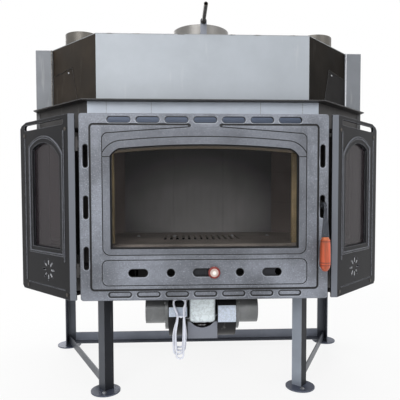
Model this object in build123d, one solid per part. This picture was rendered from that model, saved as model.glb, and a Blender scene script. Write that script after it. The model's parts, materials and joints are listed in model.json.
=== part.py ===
from build123d import *
from math import atan2, cos, degrees, pi, radians, sin, sqrt, tan
import os

# Three-sided fireplace cassette on its stand, in millimetres
# The origin lies on the floor below the axis of the flue. X runs to the right, Y to the back, Z up.

# Named clearances
SOFT_GAP = 0.3
RUN_GAP = 0.05
SLIDE_GAP = 0.2

# Main places and sheet thicknesses
DOOR_FACE = -297.0
BACK = 344.0
BODY_BOTTOM = 325.0
FLANGE_BOTTOM = 931.0
HOOD_TOP = 1148.0
RIM_HEIGHT = 72.0
RIM_TOP = HOOD_TOP + RIM_HEIGHT
BASE_SHEET = 3.0
FIREBOX_SHEET = 4.0
FLANGE_SHEET = 3.0
SHEET = 2.0

# Plan of the body: front wall, 45 degree side walls, straight flanks
BODY_FRONT = -238.0
BODY_FRONT_HALF = 360.0
BODY_CHAMFER = 205.0
BODY_BACK = 324.0
CASING_STEP = 12.0
CASING_HALF = BODY_FRONT_HALF + BODY_CHAMFER + CASING_STEP
FLANGE_FRONT = -269.0
FLANGE_STEP = 11.0
FLANGE_FRONT_HALF = BODY_FRONT_HALF + FLANGE_STEP
FLANGE_CHAMFER = 207.0
HOOD_FRONT = -211.0
HOOD_STEP = 23.0
HOOD_FRONT_HALF = BODY_FRONT_HALF - HOOD_STEP
HOOD_CHAMFER = 181.0

# Front door plate with its grooves and slots
DOOR_LAP = 15.0
DOOR_WIDTH = 2 * (BODY_FRONT_HALF + DOOR_LAP)
DOOR_BOTTOM = 326.0
DOOR_TOP = 886.0
DOOR_PLATE = 9.0
DOOR_CORNER = 9.0
DOOR_BEVEL = 3.0
GROOVE_INSET = 32.5
GROOVE_WIDTH = 4.0
GROOVE_DEPTH = 2.2
GROOVE_CORNER = 10.0
NAME_PLACE_HALF = 47.0
FIELD_MARGIN = 66.5
FIELD_HALF = DOOR_WIDTH / 2 - FIELD_MARGIN
FIELD_BOTTOM = 462.0
FIELD_SIDE_TOP = 828.0
FIELD_MIDDLE_TOP = 848.0
FIELD_CORNER = 24.0
FIELD_TOP_CORNER = 18.0
LINE_WIDTH = 3.0
LINE_DEPTH = 1.8
BAND_SIDE = 767.5
BAND_BULGE = (24.5, 794.5)
BAND_SHOULDER = (60.5, 806.0)
BAND_TOP = 818.0
SHOULDER_LINE = 758.0
WINDOW_MARGIN = 24.0
WINDOW_HALF = FIELD_HALF - WINDOW_MARGIN
WINDOW_BOTTOM = 481.5
WINDOW_SIDE_TOP = 759.0
WINDOW_BULGE = (14.1, 775.5)
WINDOW_SHOULDER = (27.3, 783.0)
WINDOW_TOP = 795.0
WINDOW_DRAFT = 14.0
PANEL_MARGIN = 64.0
PANEL_HALF = DOOR_WIDTH / 2 - PANEL_MARGIN
PANEL_BOTTOM = 370.0
PANEL_TOP = 450.0
PANEL_CORNER = 19.0
ROW_COUNT = 7
ROW_PITCH = 85.7
TOP_SLOT = (68.0, 17.0)
TOP_SLOT_Z = 867.5
FOOT_SLOT = (68.0, 16.0)
FOOT_SLOT_Z = 344.5
FOOT_SLOT_DEPTH = 3.0
SIDE_SLOT = (68.0, 13.5)
SIDE_SLOT_MARGIN = 19.0
SIDE_SLOT_X = DOOR_WIDTH / 2 - SIDE_SLOT_MARGIN
SIDE_SLOT_ZS = (455.0, 607.5, 760.0)
CONTROL_Z = 409.5
END_SLOT = (57.0, 23.0)
END_SLOT_X = 202.5
AIR_HOLE_X = 104.5
AIR_HOLE_R = 11.4
KNOB_SLOT = (74.0, 23.0)

# Seal rope of the door between two ribs, and the collar that it closes on
ROPE_MARGIN = 44.0
ROPE_FOOT_MARGIN = 40.0
ROPE_HEAD_MARGIN = 43.0
ROPE_HALF = DOOR_WIDTH / 2 - ROPE_MARGIN
ROPE_BOTTOM = DOOR_BOTTOM + ROPE_FOOT_MARGIN
ROPE_TOP = DOOR_TOP - ROPE_HEAD_MARGIN
ROPE_CORNER = 20.0
ROPE_R = 4.8
RIB_WIDTH = 2.5
RIB_HEIGHT = 5.0
COLLAR_WALL = 5.0

# Door glass
GLASS = 4.0
GASKET = 2.0
GASKET_WIDTH = 11.0
GLASS_LAP = 13.5
GLASS_HEAD_LAP = 25.0
GLASS_HALF = WINDOW_HALF + GLASS_LAP
GLASS_BOTTOM = WINDOW_BOTTOM - GLASS_LAP
GLASS_TOP = WINDOW_TOP + GLASS_HEAD_LAP
CLIP_SHEET = 2.0
CLIP_REACH = 10.0
CLIP_FOOT = 8.0
CLIP_WIDTH = 26.0

# Hinges at the left edge of the door
HINGE_OUTSET = 7.0
HINGE_X = -DOOR_WIDTH / 2 - HINGE_OUTSET
HINGE_Y = -285.0
HINGE_ZS = (417.0, 796.0)
KNUCKLE_R = 6.5
KNUCKLE_HALF = 11.0
HINGE_HALF = 21.0
HINGE_PIN_R = 3.0
HINGE_FOOT_WIDTH = 16.0
HINGE_FOOT_INSET = 2.0
HINGE_FOOT_OUTER = BODY_FRONT_HALF - HINGE_FOOT_INSET
HINGE_FOOT = (HINGE_FOOT_OUTER - HINGE_FOOT_WIDTH, HINGE_FOOT_OUTER)
HINGE_FOOT_DEPTH = 6.0

# Air shutter behind the lower panel of the door
SHUTTER_SHEET = 2.5
SHUTTER_HALF_HEIGHT = 20.0
SHUTTER_LEFT = -262.0
SHUTTER_RIGHT = 292.0
SHUTTER_TRAVEL = 52.0
SHUTTER_OFFSET = 39.0
GUIDE_BAR = 6.0
GUIDE_LIP = 5.0
GUIDE_LIP_SHEET = 2.5
GUIDE_MARGIN = 13.0
GUIDE_HALF = ROPE_HALF - GUIDE_MARGIN
KNOB_X = 26.0
KNOB_R = 18.0
KNOB_DEPTH = 13.0
KNOB_STEM_R = 5.0
KNOB_GAP = 0.5

# Latch lever with its turned grip
LATCH_X = SIDE_SLOT_X
LATCH_Y = -281.0
LATCH_Z = 610.0
LATCH_PIN_R = 3.0
LEVER_WIDTH = 8.6
LEVER_THICK = 8.0
LEVER_EYE_R = 9.0
LEVER_BOSS_R = 6.0
LEVER_TOP = 621.0
LEVER_BEND_R = 16.0
LEVER_END = 517.0
LEVER_END_WIDTH = 21.0
LEVER_TAPER_Z = 588.0
TONGUE_LENGTH = 30.0
EAR_SHEET = 3.5
EAR_GAP = 0.35
EAR_REACH = 15.0
EAR_HALF_HEIGHT = 13.0
EAR_FOOT = 2.5
KEEPER_ROLLER_R = 6.0
KEEPER_ROLLER_LENGTH = 12.0
KEEPER_GAP = 0.4
KEEPER_Y = -262.0
KEEPER_SHEET = 4.0
KEEPER_AXLE_R = 2.5
FERRULE_LENGTH = 8.0
FERRULE_STEP = 3.5
GRIP_LENGTH = 95.0
GRIP_R = 16.0
GRIP_NECK_STEP = 1.6
GRIP_BULGE = 26.0
GRIP_TIP_R = 12.0
GRIP_RING = 1.2
GRIP_TOP_RING = 5.0
GRIP_LOW_RINGS = (27.0, 19.0)
GRIP_Y = -327.0

# Glazed side frames at 45 degrees: their own plane has s along the slant and n inwards
SIDE_OUTSET = 48.0
SIDE_CORNER = (BODY_FRONT_HALF + SIDE_OUTSET, -286.0)
SIDE_LENGTH = 299.0
SIDE_PLATE = 9.0
SIDE_LIP = 19.0
SIDE_CORNER_CUT = 10.0
SIDE_REAR_TOP = 877.0
SIDE_WINDOW = (52.0, 222.0)
SIDE_WINDOW_BOTTOM = 476.0
SIDE_WINDOW_FRONT_TOP = 760.0
SIDE_WINDOW_CROWN = (120.0, 807.0)
SIDE_WINDOW_REAR_TOP = 792.0
SIDE_MOULDING = 17.0
SIDE_BEAD = ((8.0, 1.4), (4.4, 2.6))
SIDE_BEAD_BOTTOM = 452.0
SIDE_RIBS = ((28.5, 440.0, 838.0), (268.5, 358.0, 832.0))
SIDE_RIB = (5.0, 1.5)
SIDE_VENT = (244.0, 18.0)
SIDE_VENT_PLACE = (149.0, 866.5)
SIDE_LEDGE = (26.0, 253.0)
SIDE_LEDGE_Z = 354.0
ROSE_PLACE = (125.0, 406.0)
ROSE_SLOTS = 8
ROSE_R = 26.0
ROSE_SLOT = (20.0, 5.5)
SIDE_RING = (30.0, 244.0)
SIDE_RING_BOTTOM = 456.0
SIDE_RING_TOP = 826.0
SIDE_RING_WALL = 4.0
SIDE_FLANGE = 3.0
SIDE_FLANGE_INSET = 14.0
SIDE_POSTS = ((16.0, 341.0), (258.0, 341.0), (16.0, 842.0), (270.0, 842.0))
SIDE_POST_R = 7.0
SCREW_HEAD_R = 6.0
SCREW_HEAD = 2.5

# Inside of the firebox
FLOOR_Z = 380.0
HEARTH_TOP = 488.0
HEARTH_PLATE = 12.0
HEARTH_GAP = 2.0
ASH_SIDE_X = 216.0
ASH_SIDE_BACK = 180.0
PAN_GAP = 6.0
PAN_HEIGHT = 52.0
PAN_SHEET = 1.5
GRATE_SIZE = (300.0, 200.0)
GRATE_PLATE = 7.0
GRATE_REST = 10.0
GRATE_SLOTS = 13
GRATE_SLOT = (166.0, 10.0)
LINING_TOP = 850.0
LINING = 30.0
LINING_HALF = 300.0
LINING_Y = 200.0
LINING_INSET = 30.0
LINING_FRONT = (BODY_FRONT_HALF + BODY_CHAMFER - LINING_INSET, -25.0)
LINING_JOINT = 4.0
LINING_JOINT_DEPTH = 3.0
LINING_COURSES = 3
POST_STEP = 1.5
POST_X = WINDOW_HALF + POST_STEP
POST_Y = -205.0
POST_SIDE = 16.0
BAFFLE = 25.0
BAFFLE_INSET = 65.0
BAFFLE_FRONT = (BODY_FRONT_HALF + BODY_CHAMFER - BAFFLE_INSET, -60.0)
AIR_SLOT = (90.0, 28.0)
AIR_SLOT_Z = 352.0
AIR_SLOTS = 5
AIR_SLOT_PITCH = 190.0
FLANGE_SLOT = (150.0, 11.0)
FLANGE_SLOTS = 5
FLANGE_SLOT_PITCH = 200.0

# Flue collar and hot-air collars
FLUE_R = 100.0
FLUE_WALL = 3.0
SOCKET_STEP = 1.0
SOCKET_DEPTH = 24.0
AIR_COLLAR_R = 62.5
AIR_COLLAR_WALL = 1.5
AIR_COLLAR_X = 428.0
AIR_COLLAR_Y = 45.0
AIR_COLLAR_FLANGE = 8.0

# Flue damper
DAMPER_RISE = 40.0
DAMPER_Z = HOOD_TOP + DAMPER_RISE
DAMPER_ROD_R = 6.0
DAMPER_ROD_BORE = 4.4
DAMPER_ROD_FRONT = -343.0
DAMPER_TAIL = 8.0
FLAP_R = 95.5
FLAP_SHEET = 3.0
FLAP_SLEEVE_R = 7.6
STRAP_WIDTH = 20.0
STRAP_RISE = 11.0
STRAP_TOP = DAMPER_Z + STRAP_RISE
STRAP_SHEET = 3.0
STRAP_FOOT = 22.0
BUSH_R = 9.0
BUSH_BODY_R = 7.4
BUSH_LENGTH = 5.0
BUSH_FLANGE = 3.0

# Stand of angle irons
ANGLE = 35.0
ANGLE_SHEET = 4.0
FRONT_LEG_INSET = 37.0
REAR_LEG_INSET = 17.0
FRONT_LEG = (BODY_FRONT_HALF - FRONT_LEG_INSET, -193.0)
REAR_LEG = (CASING_HALF - REAR_LEG_INSET, 290.0)
FRONT_TURN = 47.0
REAR_TURN = 180.0
PAD_R = 48.0
PAD_HEIGHT = 5.0
RAIL_HEIGHT = 30.0
RAIL_SHEET = 4.0
RAIL_BOTTOM = 12.0
CROSSBAR_SIDE = 38.0
CROSSBAR_BOTTOM = 15.0

# Twin blower below the body
BLOWER_X = -4.0
BLOWER_Y = -107.0
BLOWER_Z = 254.0
MOTOR_GAP = 98.0
SCROLL_WIDTH = 62.0
SCROLL_SHEET = 1.5
SCROLL_CENTRE = (5.0, -5.0)
SCROLL_R = 89.0
SCROLL_STEP = 8.0
SCROLL_CUTOFF = 140.0
SPIGOT_R = 50.0
SPIGOT_WALL = 2.0
SPIGOT_LENGTH = 66.0
SPIGOT_FLANGE_R = 70.0
SPIGOT_FLANGE = 12.0
SHAFT_R = 5.0
MOTOR_R = 58.0
MOTOR_CORE = 56.0
MOTOR_BELL_R = 50.0
MOTOR_BOSS_R = 14.0
MOTOR_BOSS = 6.0
BRACKET_SHEET = 2.0
BRACKET_FRONT = -182.0
BRACKET_BOTTOM = 170.0
BRACKET_TOP = 226.0
BRACKET_DEPTH = 130.0
BRACKET_NOTCH_R = 48.0
COVER_HALF = 45.0
COVER_BOTTOM = 216.0
COVER_FRONT = -179.0
COVER_DEPTH = 13.0
COVER_CORNER = 20.0
COVER_SHEET = 2.0
COVER_BOSS_R = 18.0
COVER_BOSS = 2.0
IMPELLER_R = 62.0
IMPELLER_INNER_R = 51.0
IMPELLER_WIDTH = 48.0
IMPELLER_SHEET = 1.5
IMPELLER_HUB_R = 12.0
IMPELLER_BLADES = 24
BLADE_SHEET = 1.4
BLADE_LEAN = 9.0

# White supply lead and its hank
CORD_R = 3.0
GLAND_PLACE = (-60.0, -229.0)
LEAD_STRAIGHT = 14.0
LEAD_STEP = (6.5, 2.5)
GLAND_R = 8.0
GLAND_LENGTH = 14.0
HANK_LOOPS = 4
HANK_X = -80.0
HANK_Y = -224.0
HANK_PITCH = 6.8
HANK_WAIST = 256.0
HANK_WAIST_HALF = 8.0
HANK_BELLY = 200.0
HANK_BELLY_HALF = 20.0
HANK_EAR = 286.0
HANK_EAR_HALF = 24.5
HANK_LOW = 120.0
HANK_LOW_STEP = 9.0
HANK_TAIL = 44.0


# Plain helpers


def up(face, low, high):
    """Solid of a plan outline between two heights."""
    return extrude(Pos(0, 0, low) * face, amount=high - low, dir=(0, 0, 1))


def back(face, front, depth):
    """Solid of an outline drawn in x and z, from its front face towards the back."""
    plane = Plane(origin=(0, front, 0), x_dir=(1, 0, 0), z_dir=(0, -1, 0))
    return extrude(plane * face, amount=depth, dir=(0, 1, 0))


def across(face, left, width):
    """Solid of an outline drawn in y and z, from its left face towards the right."""
    plane = Plane(origin=(left, 0, 0), x_dir=(0, 1, 0), z_dir=(1, 0, 0))
    return extrude(plane * face, amount=width, dir=(1, 0, 0))


def area(*points):
    """Face with straight edges through the given points."""
    return make_face(Polyline(*points, close=True))


def box(x, y, z):
    """Block between the given pairs of limits."""
    middle = Pos((x[0] + x[1]) / 2, (y[0] + y[1]) / 2, (z[0] + z[1]) / 2)
    return middle * Box(x[1] - x[0], y[1] - y[0], z[1] - z[0])


def rounded(left, right, bottom, top, radius):
    """Rounded rectangle between the given limits."""
    centre = Pos((left + right) / 2, (bottom + top) / 2)
    return centre * RectangleRounded(right - left, top - bottom, radius)


def rod_x(x, y, z, radius):
    """Round bar along X between two places."""
    return Pos((x[0] + x[1]) / 2, y, z) * Rot(0, 90, 0) * Cylinder(radius, x[1] - x[0])


def rod_y(x, y, z, radius):
    """Round bar along Y between two places."""
    return Pos(x, (y[0] + y[1]) / 2, z) * Rot(90, 0, 0) * Cylinder(radius, y[1] - y[0])


def rod_z(x, y, z, radius):
    """Round bar along Z between two heights."""
    return Pos(x, y, (z[0] + z[1]) / 2) * Cylinder(radius, z[1] - z[0])


def turned(points):
    """Solid turned about the Z axis from a profile of (radius, height) points."""
    profile = make_face(Plane.XZ * Polyline(*points, close=True))
    return revolve(profile, axis=Axis.Z)


def group(*solids):
    """Several separate solids as one node."""
    return Compound(list(solids))


def left_of(shape):
    """The same piece on the left of the middle plane."""
    return mirror(shape, about=Plane.YZ)


def plan(front, front_half, chamfer, rear):
    """Plan outline with a front, two 45 degree corners and straight flanks."""
    half = front_half + chamfer
    return area(
        (-front_half, front),
        (front_half, front),
        (half, front + chamfer),
        (half, rear),
        (-half, rear),
        (-half, front + chamfer),
    )


def body_plan(inset):
    """Plan of the firebox, drawn in by a wall or a clearance."""
    half_cut = inset * (sqrt(2) - 1)
    chamfer = BODY_CHAMFER - inset * (2 - sqrt(2))
    return plan(BODY_FRONT + inset, BODY_FRONT_HALF - half_cut, chamfer, BODY_BACK - inset)


# Body of the cassette

BODY_HALF = BODY_FRONT_HALF + BODY_CHAMFER
FLANK_FRONT = BODY_FRONT + BODY_CHAMFER
BODY_FLOOR = BODY_BOTTOM + BASE_SHEET
FLANGE_TOP = FLANGE_BOTTOM + FLANGE_SHEET
SCROLL_LEFT_X = BLOWER_X - MOTOR_GAP / 2 - SCROLL_WIDTH
SCROLL_RIGHT_X = BLOWER_X + MOTOR_GAP / 2
COLLAR_IN = COLLAR_WALL / 2
DOOR_BACK = DOOR_FACE + DOOR_PLATE
ROPE_Y = DOOR_BACK + SLIDE_GAP + ROPE_R
COLLAR_FRONT = ROPE_Y + ROPE_R + SOFT_GAP


def rope_ring(offset_out):
    """Outline parallel to the middle line of the seal rope."""
    return rounded(
        -ROPE_HALF - offset_out,
        ROPE_HALF + offset_out,
        ROPE_BOTTOM - offset_out,
        ROPE_TOP + offset_out,
        ROPE_CORNER + offset_out,
    )


def side_place():
    """Place of the right side frame's own plane: x along the slant, y inwards, z up."""
    return Pos(SIDE_CORNER[0], SIDE_CORNER[1], 0) * Rot(0, 0, 45)


def scroll_reach(inset):
    """Front and rear of a scroll's outlet duct, measured from the axis of the fan."""
    outer = SCROLL_R - SCROLL_STEP
    front = SCROLL_CENTRE[0] - SCROLL_STEP + (outer - inset) * cos(radians(SCROLL_CUTOFF))
    rear = SCROLL_CENTRE[0] + SCROLL_R + SCROLL_STEP - inset
    return front, rear


def base_plate():
    flank = Pos(0, (FLANK_FRONT + BACK) / 2) * Rectangle(2 * CASING_HALF, BACK - FLANK_FRONT)
    face = plan(BODY_FRONT, BODY_FRONT_HALF, BODY_CHAMFER, BACK) + flank
    front, rear = scroll_reach(SCROLL_SHEET)
    for left in (SCROLL_LEFT_X, SCROLL_RIGHT_X):
        middle = Pos(left + SCROLL_WIDTH / 2, BLOWER_Y + (front + rear) / 2)
        face -= middle * Rectangle(SCROLL_WIDTH - 2 * SCROLL_SHEET, rear - front)
    return up(face, BODY_BOTTOM, BODY_FLOOR)


def firebox_front():
    face = Pos(0, (BODY_FLOOR + FLANGE_BOTTOM) / 2) * Rectangle(
        2 * BODY_FRONT_HALF, FLANGE_BOTTOM - BODY_FLOOR
    )
    face -= rope_ring(-COLLAR_IN)
    return back(face, BODY_FRONT, FIREBOX_SHEET)


def side_opening():
    """Outline of the duct from the side glass into the firebox, in the slanted plane."""
    return rounded(
        SIDE_RING[0] + SIDE_RING_WALL,
        SIDE_RING[1] - SIDE_RING_WALL,
        SIDE_RING_BOTTOM + SIDE_RING_WALL,
        SIDE_RING_TOP - SIDE_RING_WALL,
        SIDE_RING_WALL,
    )


def side_depth():
    """Distance from the outer face of the side frame to the firebox wall."""
    frame = SIDE_CORNER[0] - SIDE_CORNER[1]
    wall = BODY_FRONT_HALF - BODY_FRONT
    return (frame - wall) / sqrt(2)


def firebox_wall_right():
    inner_half = BODY_HALF - FIREBOX_SHEET
    slant = FIREBOX_SHEET * sqrt(2)
    inner_flank = FLANK_FRONT + slant - FIREBOX_SHEET
    face = area(
        (BODY_FRONT_HALF, BODY_FRONT),
        (BODY_HALF, FLANK_FRONT),
        (BODY_HALF, BODY_BACK),
        (inner_half, BODY_BACK),
        (inner_half, inner_flank),
        (BODY_FRONT_HALF, BODY_FRONT + slant),
    )
    wall = up(face, BODY_FLOOR, FLANGE_BOTTOM)
    cutter = back(side_opening(), side_depth() - FIREBOX_SHEET, 4 * FIREBOX_SHEET)
    return wall - side_place() * cutter


def firebox_back():
    half = BODY_HALF - FIREBOX_SHEET
    face = Pos(0, (BODY_FLOOR + FLANGE_BOTTOM) / 2) * Rectangle(2 * half, FLANGE_BOTTOM - BODY_FLOOR)
    for number in range(AIR_SLOTS):
        x = (number - (AIR_SLOTS - 1) / 2) * AIR_SLOT_PITCH
        face -= Pos(x, AIR_SLOT_Z) * SlotOverall(*AIR_SLOT)
    return back(face, BODY_BACK - FIREBOX_SHEET, FIREBOX_SHEET)


def firebox_floor():
    """Floor of the firebox with the two upright plates that carry the hearth."""
    floor = up(body_plan(FIREBOX_SHEET), FLOOR_Z, FLOOR_Z + FIREBOX_SHEET)
    top = HEARTH_TOP - HEARTH_PLATE
    for side in (-1, 1):
        x = side * (ASH_SIDE_X + FIREBOX_SHEET / 2)
        limits = (x - FIREBOX_SHEET / 2, x + FIREBOX_SHEET / 2)
        front = BODY_FRONT + FIREBOX_SHEET + HEARTH_GAP
        floor += box(limits, (front, ASH_SIDE_BACK), (FLOOR_Z + FIREBOX_SHEET, top))
    return floor


def flange_plate():
    face = plan(FLANGE_FRONT, FLANGE_FRONT_HALF, FLANGE_CHAMFER, BACK)
    face -= Circle(FLUE_R - FLUE_WALL)
    middle = (BODY_BACK + BACK - SHEET) / 2
    for number in range(FLANGE_SLOTS):
        x = (number - (FLANGE_SLOTS - 1) / 2) * FLANGE_SLOT_PITCH
        face -= Pos(x, middle) * SlotOverall(*FLANGE_SLOT)
    return up(face, FLANGE_BOTTOM, FLANGE_TOP)


def outer_casing():
    """Sheet round the back and flanks, with its front edges turned in to the firebox."""
    depth = BACK - FLANK_FRONT
    middle = (BACK + FLANK_FRONT) / 2
    face = Pos(0, middle) * Rectangle(2 * CASING_HALF, depth)
    face -= Pos(0, middle) * Rectangle(2 * (CASING_HALF - SHEET), depth - 2 * SHEET)
    face -= Pos(0, FLANK_FRONT) * Rectangle(2 * BODY_HALF, 4 * SHEET)
    return up(face, BODY_FLOOR, FLANGE_BOTTOM)


def hood_plan():
    """Plan of the hood: its front with two slanted corners, and the wider box behind."""
    flank_front = HOOD_FRONT + HOOD_CHAMFER
    face = plan(HOOD_FRONT, HOOD_FRONT_HALF, HOOD_CHAMFER, BACK)
    return face + Pos(0, (flank_front + BACK) / 2) * Rectangle(2 * CASING_HALF, BACK - flank_front)


def hood():
    """Upright walls of the hood."""
    inner = offset(hood_plan(), amount=-SHEET, kind=Kind.INTERSECTION)
    return up(hood_plan() - inner, FLANGE_TOP, HOOD_TOP - SHEET)


def hood_top():
    """Top sheet of the hood with the holes for the flue and the two hot-air outlets."""
    face = hood_plan() - Circle(FLUE_R + SOFT_GAP)
    for side in (-1, 1):
        face -= Pos(side * AIR_COLLAR_X, AIR_COLLAR_Y) * Circle(AIR_COLLAR_R - AIR_COLLAR_WALL)
    return up(face, HOOD_TOP - SHEET, HOOD_TOP)


def flue_collar():
    tube = rod_z(0, 0, (FLANGE_TOP, RIM_TOP), FLUE_R)
    tube -= rod_z(0, 0, (FLANGE_TOP, RIM_TOP), FLUE_R - FLUE_WALL)
    tube -= rod_z(0, 0, (RIM_TOP - SOCKET_DEPTH, RIM_TOP), FLUE_R - FLUE_WALL + SOCKET_STEP)
    reach = FLUE_R + DAMPER_TAIL
    return tube - rod_y(0, (-reach, reach), DAMPER_Z, DAMPER_ROD_R + RUN_GAP)


def air_collar_right():
    inner = AIR_COLLAR_R - AIR_COLLAR_WALL
    flange = AIR_COLLAR_R + AIR_COLLAR_FLANGE
    profile = (
        (inner, HOOD_TOP),
        (flange, HOOD_TOP),
        (flange, HOOD_TOP + SHEET),
        (AIR_COLLAR_R, HOOD_TOP + SHEET),
        (AIR_COLLAR_R, RIM_TOP),
        (inner, RIM_TOP),
    )
    return Pos(AIR_COLLAR_X, AIR_COLLAR_Y, 0) * turned(profile)


def door_collar():
    """Rectangular duct from the firebox front to the seal rope of the door."""
    face = rope_ring(COLLAR_IN) - rope_ring(-COLLAR_IN)
    return back(face, COLLAR_FRONT, BODY_FRONT - COLLAR_FRONT)


def side_collar_right():
    """Duct behind the side glass with its clamping flange, and the four posts of the frame."""
    outer = rounded(*SIDE_RING, SIDE_RING_BOTTOM, SIDE_RING_TOP, 2 * SIDE_RING_WALL)
    depth = side_depth()
    ring = back(outer - side_opening(), SIDE_PLATE, depth - SIDE_PLATE)
    flange_inner = rounded(
        SIDE_RING[0] + SIDE_RING_WALL + SIDE_FLANGE_INSET,
        SIDE_RING[1] - SIDE_RING_WALL - SIDE_FLANGE_INSET,
        SIDE_RING_BOTTOM + SIDE_RING_WALL + SIDE_FLANGE_INSET,
        SIDE_RING_TOP - SIDE_RING_WALL - SIDE_FLANGE_INSET,
        SIDE_RING_WALL,
    )
    behind_glass = SIDE_PLATE + GASKET + GLASS + SLIDE_GAP
    ring += back(outer - flange_inner, behind_glass, SIDE_FLANGE)
    posts = [rod_y(s, (SIDE_PLATE, depth), z, SIDE_POST_R) for s, z in SIDE_POSTS]
    return side_place() * group(ring, *posts)


# Firebox lining and hearth


def lining_back():
    """Rear lining with its upright joints."""
    board = box((-LINING_HALF, LINING_HALF), (LINING_Y, LINING_Y + LINING), (HEARTH_TOP, LINING_TOP))
    third = 2 * LINING_HALF / 3
    for x in (-third / 2, third / 2):
        limits = (x - LINING_JOINT / 2, x + LINING_JOINT / 2)
        board -= box(limits, (LINING_Y, LINING_Y + LINING_JOINT_DEPTH), (HEARTH_TOP, LINING_TOP))
    return board


def lining_outline(inner, outer):
    """Strip beside the slanted inner face of the right lining, between two depths."""
    run = (LINING_FRONT[0] - LINING_HALF, LINING_FRONT[1] - LINING_Y)
    length = sqrt(run[0] ** 2 + run[1] ** 2)
    normal = (-run[1] / length, run[0] / length)
    start = (LINING_HALF + SLIDE_GAP, LINING_Y)
    near = [(p[0] + inner * normal[0], p[1] + inner * normal[1]) for p in (start, LINING_FRONT)]
    far = [(p[0] + outer * normal[0], p[1] + outer * normal[1]) for p in (start, LINING_FRONT)]
    return near, far


def lining_right():
    """Slanted brick lining and the front post of the same side."""
    near, far = lining_outline(0, LINING)
    board = up(area(near[0], near[1], far[1], far[0]), HEARTH_TOP, LINING_TOP)
    near, far = lining_outline(0, LINING_JOINT_DEPTH)
    course = (LINING_TOP - HEARTH_TOP) / LINING_COURSES
    for number in range(1, LINING_COURSES):
        z = HEARTH_TOP + number * course
        strip = area(near[0], near[1], far[1], far[0])
        board -= up(strip, z - LINING_JOINT / 2, z + LINING_JOINT / 2)
    post = box((POST_X, POST_X + POST_SIDE), (POST_Y, POST_Y + POST_SIDE), (HEARTH_TOP, LINING_TOP))
    return group(board, post)


def baffle():
    """Smoke baffle resting on the linings."""
    near, far = lining_outline(0, LINING / 2)
    right = [BAFFLE_FRONT, far[1], far[0]]
    left = [(-x, y) for x, y in reversed(right)]
    return up(area(*right, *left), LINING_TOP, LINING_TOP + BAFFLE)


def hearth_plate():
    bottom = HEARTH_TOP - HEARTH_PLATE
    plate = up(body_plan(FIREBOX_SHEET + HEARTH_GAP), bottom, HEARTH_TOP)
    hole = Rectangle(GRATE_SIZE[0] - 2 * GRATE_REST, GRATE_SIZE[1] - 2 * GRATE_REST)
    plate -= up(hole, bottom, HEARTH_TOP)
    return plate - up(Rectangle(*GRATE_SIZE), HEARTH_TOP - GRATE_PLATE, HEARTH_TOP)


def grate():
    face = Rectangle(GRATE_SIZE[0] - 2 * SLIDE_GAP, GRATE_SIZE[1] - 2 * SLIDE_GAP)
    pitch = (GRATE_SIZE[0] - 2 * GRATE_REST) / GRATE_SLOTS
    for number in range(GRATE_SLOTS):
        x = (number - (GRATE_SLOTS - 1) / 2) * pitch
        face -= Pos(x, 0) * Rot(0, 0, 90) * SlotOverall(*GRATE_SLOT)
    return up(face, HEARTH_TOP - GRATE_PLATE, HEARTH_TOP)


def ash_pan():
    floor = FLOOR_Z + FIREBOX_SHEET
    half = ASH_SIDE_X - PAN_GAP
    front = BODY_FRONT + FIREBOX_SHEET + 2 * PAN_GAP
    rear = ASH_SIDE_BACK - PAN_GAP
    pan = box((-half, half), (front, rear), (floor, floor + PAN_HEIGHT))
    wall = PAN_SHEET
    inside = (-half + wall, half - wall), (front + wall, rear - wall)
    return pan - box(*inside, (floor + wall, floor + PAN_HEIGHT))


# Front door


def window_outline():
    """Window of the door: straight sides, rounded shoulders and a low arch."""
    x, z = (WINDOW_HALF - WINDOW_SHOULDER[0], WINDOW_SHOULDER[1])
    bulge_x, bulge_z = (WINDOW_HALF - WINDOW_BULGE[0], WINDOW_BULGE[1])
    outline = Polyline(
        (-WINDOW_HALF, WINDOW_SIDE_TOP),
        (-WINDOW_HALF, WINDOW_BOTTOM),
        (WINDOW_HALF, WINDOW_BOTTOM),
        (WINDOW_HALF, WINDOW_SIDE_TOP),
    )
    outline += ThreePointArc((WINDOW_HALF, WINDOW_SIDE_TOP), (bulge_x, bulge_z), (x, z))
    outline += ThreePointArc((x, z), (0, WINDOW_TOP), (-x, z))
    outline += ThreePointArc((-x, z), (-bulge_x, bulge_z), (-WINDOW_HALF, WINDOW_SIDE_TOP))
    return make_face(outline)


def field_lines():
    """Casting lines of the front: the open frame groove, the field and the arch band."""
    half = DOOR_WIDTH / 2 - GROOVE_INSET
    low = DOOR_BOTTOM + GROOVE_INSET
    high = DOOR_TOP - GROOVE_INSET
    reach = GROOVE_WIDTH / 2
    outer = rounded(-half - reach, half + reach, low - reach, high + reach, GROOVE_CORNER + reach)
    groove = outer - rounded(-half + reach, half - reach, low + reach, high - reach, GROOVE_CORNER - reach)
    field = make_face(
        Polyline(
            (-FIELD_HALF, FIELD_BOTTOM),
            (FIELD_HALF, FIELD_BOTTOM),
            (FIELD_HALF, FIELD_SIDE_TOP),
            (NAME_PLACE_HALF, FIELD_MIDDLE_TOP),
            (-NAME_PLACE_HALF, FIELD_MIDDLE_TOP),
            (-FIELD_HALF, FIELD_SIDE_TOP),
            close=True,
        )
    )
    field = fillet(field.vertices().group_by(Axis.Y)[0], FIELD_CORNER)
    field = fillet(field.vertices().group_by(Axis.Y)[-2], FIELD_TOP_CORNER)
    field_line = field - offset(field, amount=-LINE_WIDTH)
    gap = Pos(0, high) * Rectangle(2 * NAME_PLACE_HALF, 4 * GROOVE_WIDTH)
    tip_z = (high + FIELD_MIDDLE_TOP) / 2
    tip_r = (high - FIELD_MIDDLE_TOP + GROOVE_WIDTH) / 2
    tips = [Pos(side * NAME_PLACE_HALF, tip_z) * Circle(tip_r) for side in (-1, 1)]
    return (groove + field_line) - gap + tips


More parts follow.
